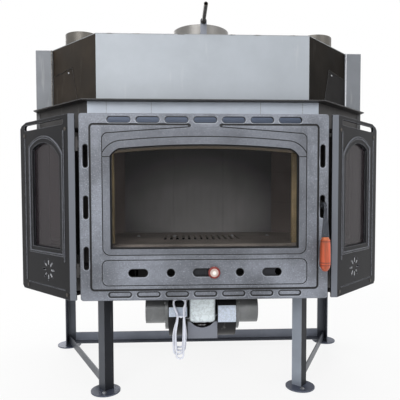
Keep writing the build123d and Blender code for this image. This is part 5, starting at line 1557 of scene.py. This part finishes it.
@dataclass
class FireChamber:
    """Linings, hearth and ash pan behind the door."""

    hearth_top: float = 0.488
    bolt_x: Tuple[float, ...] = (-0.23, -0.0969, 0.1185, 0.25)
    bolt_y: float = 0.03
    post_back: float = -0.18

    def build(self) -> None:
        """Dresses the chamber, with pale stone on its front posts, and adds the bolts of the hearth."""
        BACK_BOARD.dress("lining_back", "baffle")
        SIDE_BRICK.dress("side_linings")
        POST_STONE.dress_faces("side_linings", lambda at, _: at.y < self.post_back)
        HEARTH_IRON.dress("hearth_plate", "grate")
        DARK_SHEET.dress("ash_pan")
        places = [((x, self.bolt_y, self.hearth_top), (0, 0, 1)) for x in self.bolt_x]
        heads("hearth_bolts", Fastener.HEX, places, ZINC)


@dataclass
class FrontDoor:
    """Cast door with its glass, seal, hinges, air shutter and latch."""

    rope_half: float = 0.331
    rope_low: float = 0.366
    rope_high: float = 0.843
    rope_corner: float = 0.020
    rope_y: float = -0.283
    rope_radius: float = 0.0047
    rope_steps: int = 90
    corner_steps: int = 6
    twists: int = 190
    braid: Pair = (0.93, 0.07)
    tape_width: float = 0.011
    clip_y: float = -0.280
    clips: Tuple[Pair, ...] = ((-0.149, 0.4642), (-0.149, 0.8238), (0.149, 0.4642), (0.149, 0.8238),
                               (-0.3018, 0.644), (0.3018, 0.644))

    def build(self) -> None:
        """Dresses the cast parts and makes the soft seals."""
        DOOR_IRON.dress("door_plate")
        WINDOW_GLASS.dress("door_glass")
        ZINC.dress("glass_clips", "shutter_guides")
        DARK_SHEET.dress("hinge_lugs", "hinge_brackets", "latch_bracket", "latch_keeper")
        SHUTTER_SHEET.dress("air_shutter")
        KNOB_ENAMEL.dress("shutter_knob")
        LEVER_IRON.dress("latch_lever")
        FERRULE_METAL.dress("latch_ferrule")
        GRIP_WOOD.dress("wooden_grip")
        self._rope()
        low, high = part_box("glass_gasket")
        tape = flat_ring(low, high, self.tape_width)
        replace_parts(piece("glass_tape", tape, GASKET_TAPE, Body.DOOR), "glass_gasket")
        places = [((x, self.clip_y, z), (0, 1, 0)) for x, z in self.clips]
        heads("clip_screws", Fastener.PAN, places, ZINC, Body.DOOR)

    def _loop(self) -> List[Vector]:
        """Makes the middle line of the seal.

        Returns:
            Points round its rounded rectangle, from the right upper corner.
        """
        points: List[Vector] = []
        radius = self.rope_corner
        half = self.rope_half - radius
        low, high = self.rope_low + radius, self.rope_high - radius
        corners = ((half, high), (-half, high), (-half, low), (half, low))
        for place, (x, z) in enumerate(corners):
            for step in range(self.corner_steps + 1):
                angle = math.radians(90 * (place + step / self.corner_steps))
                points.append(Vector((x + radius * math.cos(angle), self.rope_y,
                                      z + radius * math.sin(angle))))
            next_x, next_z = corners[(place + 1) % 4]
            angle = math.radians(90 * (place + 1))
            end = Vector((next_x + radius * math.cos(angle), self.rope_y, next_z + radius * math.sin(angle)))
            first = points[-1]
            points += [first.lerp(end, step / self.rope_steps) for step in range(1, self.rope_steps)]
        return points

    def _rope(self) -> None:
        """Braided seal rope: a tube whose strands stand out in a double twist."""
        plain, raised = self.braid

        def radius(share: float, angle: float) -> float:
            """Radius with crossing strands.

            Args:
                share: Share of the way along the rope.
                angle: Angle round the rope.

            Returns:
                The radius there.
            """
            turns = share * self.twists * 2 * math.pi
            strands = max(math.cos(3 * angle + turns), math.cos(3 * angle - turns))
            return self.rope_radius * (plain + raised * strands)

        braid = tube(self._loop(), radius, 12, closed=True)
        rope = piece("seal_braid", braid, SEAL_ROPE, Body.DOOR)
        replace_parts(rope, "door_seal_rope")


@dataclass
class SideWindow:
    """Glazed side frame at 45 degrees, with its seal."""

    side: Side
    corner: Pair = (0.408, -0.286)
    gasket_face: float = 0.009
    gasket_depth: float = 0.002
    tape_width: float = 0.011
    glass_run: Pair = (0.0343, 0.2397)
    glass_height: Pair = (0.4603, 0.8217)

    def build(self) -> None:
        """Dresses the frame and glass and lays the tape."""
        name = self.side.name.lower()
        SIDE_IRON.dress(f"side_frame_{name}")
        SIDE_GLASS.dress(f"side_glass_{name}")
        front, rear = self.glass_run
        low, high = self.glass_height
        half = (rear - front) / 2
        tape = flat_ring((-half, 0.0, low), (half, self.gasket_depth, high), self.tape_width)
        lay = Matrix.Translation((*self.corner, 0.0)) @ Matrix.Rotation(math.radians(45), 4, "Z")
        lay = lay @ Matrix.Translation(((front + rear) / 2, self.gasket_face, 0.0))
        mirror = Matrix.Scale(self.side.value, 4, (1, 0, 0))
        obj = piece(f"side_tape_{name}", moved(tape, mirror @ lay), GASKET_TAPE, Body.CASSETTE)
        if self.side is Side.RIGHT:
            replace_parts(obj, "side_gaskets")


@dataclass
class Blower:
    """Twin blower under the body: scrolls, motor, cover and wiring."""

    x: float = -0.004
    y: float = -0.107
    z: float = 0.254
    scroll_centre: Pair = (0.005, -0.005)
    scroll_radius: float = 0.089
    scroll_step: float = 0.008
    scroll_inner: float = 0.049
    scroll_width: float = 0.062
    band_inset: Pair = (0.002, 0.001)
    band_skins: Pair = (0.0003, 0.0009)
    band_rows: int = 14
    band_columns: int = 6
    right_band: Pair = (0.2255, 0.280)
    left_band: Pair = (0.246, 0.276)
    cover_half: float = 0.045
    cover_low: float = 0.221
    cover_high: float = 0.325
    cover_face: float = -0.179
    cover_depth: float = 0.013
    cover_corner: float = 0.012
    cover_gaps: Pair = (0.0008, 0.0006)
    cover_rim: Pair = (0.86, 0.14)
    foot_tuck: float = 0.006
    cover_rows: int = 40
    cover_columns: int = 36
    sheet: float = 0.001
    crumple_depth: float = 0.00055
    boss_height: float = 0.0016
    boss_rim: Pair = (0.0165, 0.019)
    ring_height: float = 0.0006
    ring_rims: Tuple[Pair, Pair] = ((0.019, 0.021), (0.023, 0.026))
    apron_front: float = -0.1805
    apron_step: float = 0.006
    apron_lines: int = 8
    apron_columns: int = 40
    apron_arc: Pair = (192.0, 156.0)
    apron_folds: Pair = (-0.0009, 0.0002)
    apron_radius: float = 0.0474
    apron_flare: float = 0.0009
    apron_sheet: float = 0.0008
    winding_radius: float = 0.0585
    winding_depth: float = 0.003
    winding_pitch: float = 0.0032
    winding_wire: float = 0.0013
    winding_steps: int = 14
    winding_arc: Pair = (184.0, 52.0)
    windings: int = 16
    wire_radius: float = 0.0009
    right_wire: Tuple[Point, ...] = (
        (0.036, -0.1806, 0.243), (0.0405, -0.1815, 0.2455), (0.0455, -0.1822, 0.2490),
        (0.0475, -0.1838, 0.2535), (0.053, -0.1880, 0.2545))
    left_wire: Tuple[Point, ...] = (
        (-0.044, -0.1800, 0.240), (-0.0490, -0.1820, 0.2385), (-0.0535, -0.1865, 0.2385),
        (-0.0585, -0.1905, 0.2400))
    spigot_face: float = 0.123
    spigot_ring: float = 0.061
    seed: int = 11

    def build(self) -> None:
        """Dresses the fan and makes its bands, cover, windings, wires and screws."""
        SCROLL_STEEL.dress("scroll_left", "scroll_right")
        SPIGOT_STEEL.dress("inlet_spigots")
        MOTOR_CORE.dress("motor_body")
        BRACKET_STEEL.dress("blower_bracket")
        ZINC.dress("rotor_shaft")
        DARK_BOLT.dress("side_screws")
        DARK_SHEET.dress("impellers")
        BLACK_PLASTIC.dress("cable_gland")
        self._band(Side.RIGHT, *self.right_band)
        self._band(Side.LEFT, *self.left_band)
        self._cover()
        self._apron()
        self._windings()
        self._wires()
        self._spigot_screws()

    def _wall(self, z: float, out: float) -> float:
        """Y of a scroll's front wall.

        Args:
            z: Height on the wall.
            out: Distance outside the wall.

        Returns:
            The wall's place along Y.
        """
        drop = z - self.z - self.scroll_centre[1]
        step = 0.0 if drop < 0 else self.scroll_step
        reach = self.scroll_radius - step + out
        return self.y + self.scroll_centre[0] - step - math.sqrt(max(0.0, reach * reach - drop * drop))

    def _band(self, side: Side, low: float, high: float) -> None:
        """Plain pale band wrapped over the front of a scroll.

        Args:
            side: Which scroll.
            low: Lowest height of the band.
            high: Highest height of the band.
        """
        inner = self.x + side.value * (self.scroll_inner + self.band_inset[0])
        outer = self.x + side.value * (self.scroll_inner + self.scroll_width - self.band_inset[1])
        left, right = sorted((inner, outer))
        columns, last = self.band_columns, self.band_rows
        shapes = []
        for out in self.band_skins:
            rows = []
            for step in range(last + 1):
                z = low + (high - low) * step / last
                rows.append([Vector((left + (right - left) * share / columns, self._wall(z, out), z))
                             for share in range(columns + 1)])
            shapes.append(grid(rows))
        width = columns + 1
        border = list(range(width)) + [width * row + columns for row in range(1, last + 1)]
        border += [width * last + index for index in range(columns - 1, -1, -1)]
        border += [width * row for row in range(last - 1, 0, -1)]
        rim = grid([[skin[0][index] for index in border] for skin in shapes], closed=True)
        name = f"scroll_band_{side.name.lower()}"
        piece(name, joined(shapes + [rim]), BAND_FOIL, Body.CASSETTE)

    def _cover(self) -> None:
        """Soft pale cover of the motor with rounded lower corners and a crumpled lower edge."""
        source = random.Random(self.seed)
        waves = [(source.uniform(60, 220), source.uniform(0, 6.3), source.uniform(0.3, 1.0))
                 for _ in range(6)]
        rows = [self._cover_row(line / self.cover_rows, waves) for line in range(self.cover_rows + 1)]
        obj = piece("motor_hood_foil", grid(rows), COVER_FOIL, Body.CASSETTE)
        thick = obj.modifiers.new("sheet", "SOLIDIFY")
        thick.thickness = self.sheet
        thick.offset = 1.0
        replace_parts(obj, "motor_cover")

    def _cover_row(self, share: float, waves: Sequence[Point]) -> List[Vector]:
        """Points across the cover at one height.

        Args:
            share: Share of the cover's height.
            waves: Rate, phase and weight of each wave of the crumples.

        Returns:
            The points from left to right.
        """
        corner = self.cover_corner
        beside, over = self.cover_gaps
        start, width = self.cover_rim
        z = self.cover_low + (self.cover_high - over - self.cover_low) * share
        above = z - self.cover_low
        inset = corner - math.sqrt(max(0.0, corner ** 2 - (corner - above) ** 2)) if above < corner else 0.0
        half = self.cover_half - beside - inset
        low_tuck = self.foot_tuck * max(0.0, 1 - share * 9) ** 2
        row = []
        for column in range(self.cover_columns + 1):
            t = 2 * column / self.cover_columns - 1
            x = half * t
            tuck = (self.cover_depth - self.sheet) * (max(0.0, abs(t) - start) / width) ** 2.4
            sway = sum(weight * math.sin(rate * x * 2 + phase + share * 5) for rate, phase, weight in waves)
            crumple = max(-0.0008, sway * self.crumple_depth * max(0.0, 1 - share * 2.2))
            boss = self._boss(math.hypot(x, z - self.z))
            y = self.cover_face + self.sheet + tuck + low_tuck + crumple - boss
            row.append(Vector((self.x + x, y, z)))
        return row

    def _boss(self, away: float) -> float:
        """How far the pressed boss and its ring stand out, at a distance from their middle."""
        ring = smooth_rise(away, *self.ring_rims[0]) - smooth_rise(away, *self.ring_rims[1])
        return self.boss_height * (1 - smooth_rise(away, *self.boss_rim)) + self.ring_height * ring

    def _apron(self) -> None:
        """Dark crumpled sheet, as painted shade, that runs back from the bracket's notch to the motor."""
        source = random.Random(self.seed + 2)
        start, sweep = self.apron_arc
        rows: List[List[Vector]] = []
        for line in range(self.apron_lines + 1):
            y = self.apron_front + self.apron_step * line
            row = []
            for step in range(self.apron_columns + 1):
                angle = math.radians(start + sweep * step / self.apron_columns)
                reach = self.apron_radius + line * self.apron_flare
                reach += source.uniform(*self.apron_folds) * min(1, line)
                row.append(Vector((self.x + reach * math.cos(angle), y, self.z + reach * math.sin(angle))))
            rows.append(row)
        obj = piece("motor_apron", grid(rows), APRON_SHADE_FOIL, Body.CASSETTE)
        obj.modifiers.new("sheet", "SOLIDIFY").thickness = self.apron_sheet

    def _windings(self) -> None:
        """Bundles of varnished wire that show below the cover, round the motor's core."""
        source = random.Random(self.seed + 1)
        turns = []
        start, sweep = self.winding_arc
        for number in range(self.windings):
            radius = self.winding_radius + source.uniform(0.0, self.winding_depth)
            x = self.x + (number - (self.windings - 1) / 2) * self.winding_pitch + source.uniform(-1, 1) * MM
            points = []
            for step in range(self.winding_steps + 1):
                angle = math.radians(start + sweep * step / self.winding_steps)
                sway = source.uniform(-0.5, 0.5) * MM
                points.append(Vector((x + sway, self.y + radius * math.cos(angle),
                                      self.z + radius * math.sin(angle))))
            turns.append(even_tube(smooth_path(points, 3), self.winding_wire, 6))
        piece("motor_windings", joined(turns), WINDING, Body.CASSETTE)

    def _wires(self) -> None:
        """Thin white leads from the cover to the scrolls."""
        for name, points in (("wire_right", self.right_wire), ("wire_left", self.left_wire)):
            path = smooth_path([Vector(point) for point in points])
            piece(name, even_tube(path, self.wire_radius, 8), CABLE_SKIN, Body.CASSETTE)

    def _spigot_screws(self) -> None:
        """Screws of the spigot flanges."""
        places: List[Tuple[Point, Point]] = []
        for side in (-1, 1):
            for along, up in ring_of_six(self.spigot_ring):
                places.append(((self.x + side * self.spigot_face, self.y + along, self.z + up), (side, 0, 0)))
        heads("spigot_screws", Fastener.PAN, places, ZINC)


@dataclass
class SupplyLead:
    """White supply lead of the blower: a short free stretch and the hank that it is tied into."""

    radius: float = 0.003
    length: float = 1.78
    exit: Tuple[Point, ...] = ((-0.060, -0.229, 0.311), (-0.060, -0.229, 0.297), (-0.0665, -0.2265, 0.283))
    exit_foot: float = 0.269
    loops: int = 4
    x: float = -0.080
    y: float = -0.224
    pitch: float = 0.0068
    waist: float = 0.256
    waist_half: float = 0.008
    belly: float = 0.200
    belly_half: float = 0.020
    ear: float = 0.286
    ear_half: float = 0.0245
    low: float = 0.120
    low_step: float = 0.009
    tail: float = 0.044
    lean: float = 0.006
    ear_draw: float = 0.014
    fan: Tuple[Point, ...] = ((0.0015, 0.010, 0.0), (-0.004, 0.013, 0.004), (0.004, 0.013, 0.004),
                              (-0.001, 0.010, 0.004))
    tie_gap: float = 0.0036
    tie_wall: float = 0.0012
    tie_half: float = 0.0018
    tie_steps: int = 40
    lock_half: Point = (0.003, 0.0028, 0.0027)
    lock_bevel: float = 0.0006
    core_radius: float = 0.00105
    wire_radius: float = 0.00062
    core_path: Tuple[Pair, ...] = ((0.0013, 0.002), (0.0022, -0.006), (0.0026, -0.016))

    @property
    def waist_x(self) -> float:
        """Place of the waist along X."""
        return self.x + self.lean

    @property
    def end_y(self) -> float:
        """Place of the rear layer of the hank along Y."""
        return self.y + self.loops * self.pitch

    def _hung(self, place: Point, loop: int) -> Point:
        """Point of the route as the hank hangs: aside at its waist, each loop fanned out at its foot.

        Args:
            place: Point of the evenly wound hank.
            loop: Number of its loop.

        Returns:
            The point where it hangs.
        """
        x, y, z = place
        drawn = self.ear_draw * min(1.0, max(0.0, (z - self.waist) / self.tail)) if x > self.x else 0.0
        share = min(1.0, max(0.0, (self.waist - z) / (self.waist - self.low)))
        aside, half, rise = self.fan[loop]
        spread = min(1.0, 2.4 * share)
        narrowed = math.copysign(self.belly_half - half, self.x - x)
        across = self.lean * (1 - spread) - drawn + aside * spread + narrowed * share
        return x + across, y, z + rise * share ** 2

    def _loop(self, number: int) -> List[Point]:
        """One loop of the evenly wound hank.

        Args:
            number: Number of the loop, from the front.

        Returns:
            Its points, down on the right, up on the left and over the ear.
        """
        y = self.y + number * self.pitch
        after = y + self.pitch
        low = self.low + self.low_step * number
        down = ((self.waist_half, self.waist), (self.belly_half, self.belly),
                (self.belly_half, low + self.belly_half), (self.belly_half, low))
        top = self.ear + self.ear_half
        points = [(self.x + across, y, z) for across, z in down]
        points += [(self.x - across, y, z) for across, z in down[:0:-1]]
        points.append((self.x - self.waist_half, after, self.waist))
        points += [(self.x + way * self.ear_half, after, z)
                   for way, z in ((-1, self.ear), (-1, top), (1, top), (1, self.ear))]
        return points

    def points(self) -> List[Point]:
        """Route of the lead.

        Returns:
            Its points: out of the gland, down to the waist, through every loop, and the free end.
        """
        side_x = self.waist_x + self.waist_half
        route = [*self.exit, (side_x, self.y, self.exit_foot)]
        for number in range(self.loops):
            route += [self._hung(place, number) for place in self._loop(number)]
        return route + [(side_x, self.end_y, self.waist), (side_x, self.end_y, self.waist - self.tail)]

    def build(self) -> None:
        """Makes the lead as one smooth curve, with its tie and its stripped end."""
        curve = bpy.data.curves.new("supply_lead", "CURVE")
        curve.dimensions = "3D"
        curve.bevel_depth = self.radius
        curve.bevel_resolution = 4
        curve.resolution_u = 6
        curve.use_fill_caps = True
        route = self.points()
        spline = curve.splines.new("NURBS")
        spline.points.add(len(route) - 1)
        for point, place in zip(spline.points, route):
            point.co = (*place, 1.0)
        spline.order_u = 3
        spline.use_endpoint_u = True
        curve.materials.append(CABLE_SKIN.material())
        lead = linked("supply_lead", curve)
        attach(lead, Body.CASSETTE.value)
        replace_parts(lead, "cord_lead", "cord_hank")
        with_pieces = [frame["nodes"]["cable_gland"], self._tie()] + self._cores()

    def _tie(self) -> bpy.types.Object:
        """Makes the cable tie round the waist of the hank.

        Returns:
            The tie with its lock.
        """
        half_x = self.waist_half + self.tie_gap + self.radius + self.tie_wall
        front = self.y - self.radius - self.tie_wall
        rear = self.end_y + self.radius + self.tie_wall
        rows: List[List[Vector]] = []
        for step in range(self.tie_steps):
            angle = 2 * math.pi * step / self.tie_steps
            across, along = (math.copysign(abs(part) ** 0.5, part)
                             for part in (math.cos(angle), math.sin(angle)))
            middle = Vector((self.waist_x + half_x * across, (front + rear) / 2 + (rear - front) / 2 * along,
                             self.waist))
            out = Vector((across, along, 0.0)).normalized() * self.tie_wall / 2
            low, high = Vector((0.0, 0.0, -self.tie_half)), Vector((0.0, 0.0, self.tie_half))
            rows.append([middle + out + low, middle + out + high, middle - out + high, middle - out + low])
        half, depth, tall = self.lock_half
        lock = block((self.waist_x - half, front - depth, self.waist - tall),
                     (self.waist_x + half, front, self.waist + tall), self.lock_bevel)
        shape = joined([grid(rows + rows[:1], closed=True), lock])
        return piece("cable_tie", shape, CABLE_SKIN, Body.CASSETTE)

    def _cores(self) -> List[bpy.types.Object]:
        """Makes the three stripped cores at the free end of the lead.

        Returns:
            The cores, each with its bare wire.
        """
        end = Vector((self.waist_x + self.waist_half, self.end_y, self.waist - self.tail))
        cores = []
        for number, finish in enumerate((WIRE_BROWN, WIRE_BLUE, WIRE_GREEN)):
            angle = 2 * math.pi * number / 3
            way = Vector((math.cos(angle), math.sin(angle), 0.0))
            path = smooth_path([end + Vector((0.0, 0.0, rise)) + way * out for out, rise in self.core_path])
            skin = tube(path, lambda share, _: self.core_radius if share < 0.62 else self.wire_radius, 8)
            cores.append(piece(f"core_{number}", skin, finish, Body.CASSETTE))
        return cores


# Stage


@dataclass(frozen=True)
class Lamp:
    """Large soft lamp: its place, what it is aimed at, its size and its power in watts."""

    name: str
    place: Point
    target: Point
    size: float
    power: float

    def build(self) -> None:
        """Hangs the lamp."""
        data = bpy.data.lights.new(self.name, "AREA")
        data.shape = "DISK"
        data.size = self.size
        data.energy = self.power
        lamp = linked(self.name, data)
        lamp.location = self.place
        lamp.rotation_euler = (Vector(self.target) - Vector(self.place)).to_track_quat("-Z", "Y").to_euler()


@dataclass
class Studio:
    """Pale floor, soft lamps, white surround and the camera."""

    eye: Point = (-0.0769, -1.6458, 0.6492)
    pitch: float = 0.0415
    yaw: float = 0.0448
    roll: float = 0.0025
    lens: float = 40.5
    shift_y: float = 0.0293
    floor_radius: float = 9.0
    floor_depth: float = 0.02
    fade: Pair = (0.9, 2.6)
    floor_tones: Tuple[Tone, Tone] = ((243, 243, 243), (247, 247, 247))
    near_glow: float = 0.86
    surround: float = 0.43
    lamps: Tuple[Lamp, ...] = (
        Lamp("key", (-1.3, -3.4, 2.3), (0.0, -0.1, 0.62), 2.6, 76.0),
        Lamp("fill", (2.6, -2.6, 1.4), (0.0, 0.0, 0.6), 2.2, 30.0),
        Lamp("top", (0.2, 0.6, 3.4), (0.0, 0.0, 1.0), 2.4, 40.0),
        Lamp("rear", (-1.8, 3.2, 2.0), (0.0, 0.2, 0.7), 2.4, 40.0))

    def build(self) -> None:
        """Sets the stage."""
        bpy.context.scene.view_settings.view_transform = "Standard"
        self._camera()
        self._floor()
        self._world()
        for lamp in self.lamps:
            lamp.build()

    def _camera(self) -> None:
        """Camera at the photograph's place and angle."""
        data = bpy.data.cameras.new("camera")
        data.lens = self.lens
        data.sensor_width = 36.0
        data.shift_y = self.shift_y
        data.clip_start = 0.01
        camera = linked("camera", data)
        cy, sy = math.cos(self.yaw), math.sin(self.yaw)
        cp, sp = math.cos(self.pitch), math.sin(self.pitch)
        cr, sr = math.cos(self.roll), math.sin(self.roll)
        flat = Vector((cy, -sy, 0.0))
        rise = Vector((sp * sy, sp * cy, cp))
        ahead = Vector((cp * sy, cp * cy, -sp))
        right = flat * cr - rise * sr
        up = flat * sr + rise * cr
        turn = Matrix((right, up, -ahead)).transposed()
        camera.matrix_world = Matrix.Translation(self.eye) @ turn.to_4x4()
        bpy.context.scene.camera = camera

    def _floor(self) -> None:
        """Round pale floor that fades into the white surround."""
        mesh = meshed("floor", turned([(self.floor_radius, -self.floor_depth), (self.floor_radius, 0.0)], 64))
        obj = linked("floor", mesh)
        material = bpy.data.materials.new("floor_paint")
        material.use_nodes = True
        graph = Graph(material.node_tree)
        x, y, _ = graph.split(graph.place())
        away = (x * x + y * y).root().step(*self.fade)
        colour = graph.mix(graph.noise(40.0, detail=3.0), *self.floor_tones)
        paint = graph.node("ShaderNodeBsdfPrincipled", None, {"Base Color": colour, "Roughness": 0.7})
        glow = graph.node("ShaderNodeEmission", None, {"Color": (1.0, 1.0, 1.0, 1.0), "Strength": 1.0})
        share = seen_rays(graph) * (away * (1 - self.near_glow) + self.near_glow)
        mixed = graph.node("ShaderNodeMixShader", None, {0: share, 1: paint.outputs[0], 2: glow.outputs[0]})
        graph.node("ShaderNodeOutputMaterial", None, {"Surface": mixed.outputs[0]})
        mesh.materials.append(material)

    def _world(self) -> None:
        """Surround that is white to the eye and soft grey as a light."""
        world = bpy.data.worlds.new("surround")
        bpy.context.scene.world = world
        world.use_nodes = True
        graph = Graph(world.node_tree)
        strength = seen_rays(graph) * (1 - self.surround) + self.surround
        back = graph.node("ShaderNodeBackground", None, {"Color": (1.0, 1.0, 1.0, 1.0), "Strength": strength})
        graph.node("ShaderNodeOutputWorld", None, {"Surface": back.outputs[0]})


def seen_rays(graph: Graph) -> Value:
    """Mask of the rays that show the background.

    Args:
        graph: Graph of the floor's material or of the world.

    Returns:
        1 for rays that come straight, mirrored or through glass.
    """
    path = graph.node("ShaderNodeLightPath")
    seen = Value(graph, path.outputs["Is Camera Ray"])
    for name in ("Is Glossy Ray", "Is Transmission Ray"):
        seen = seen + Value(graph, path.outputs[name])
    return seen.step(0.0, 1.0)


def main() -> None:
    """Builds every sub-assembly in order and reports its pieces."""
    logging.basicConfig(level=logging.INFO, format="%(name)s: %(message)s")
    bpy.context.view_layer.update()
    assemblies = [
        Studio(),
        SupplyLead(),
        SteelBody(),
        Hood(),
        FireChamber(),
        FrontDoor(),
        SideWindow(Side.LEFT),
        SideWindow(Side.RIGHT),
        Blower(),
    ]
    for assembly in assemblies:
        known = set(bpy.data.objects.keys())
        assembly.build()
        added = sorted(set(bpy.data.objects.keys()) - known)
        log.info("built %s with %s", type(assembly).__name__, ", ".join(added) or "nodes of the frame only")


if __name__ == "__main__":
    main()
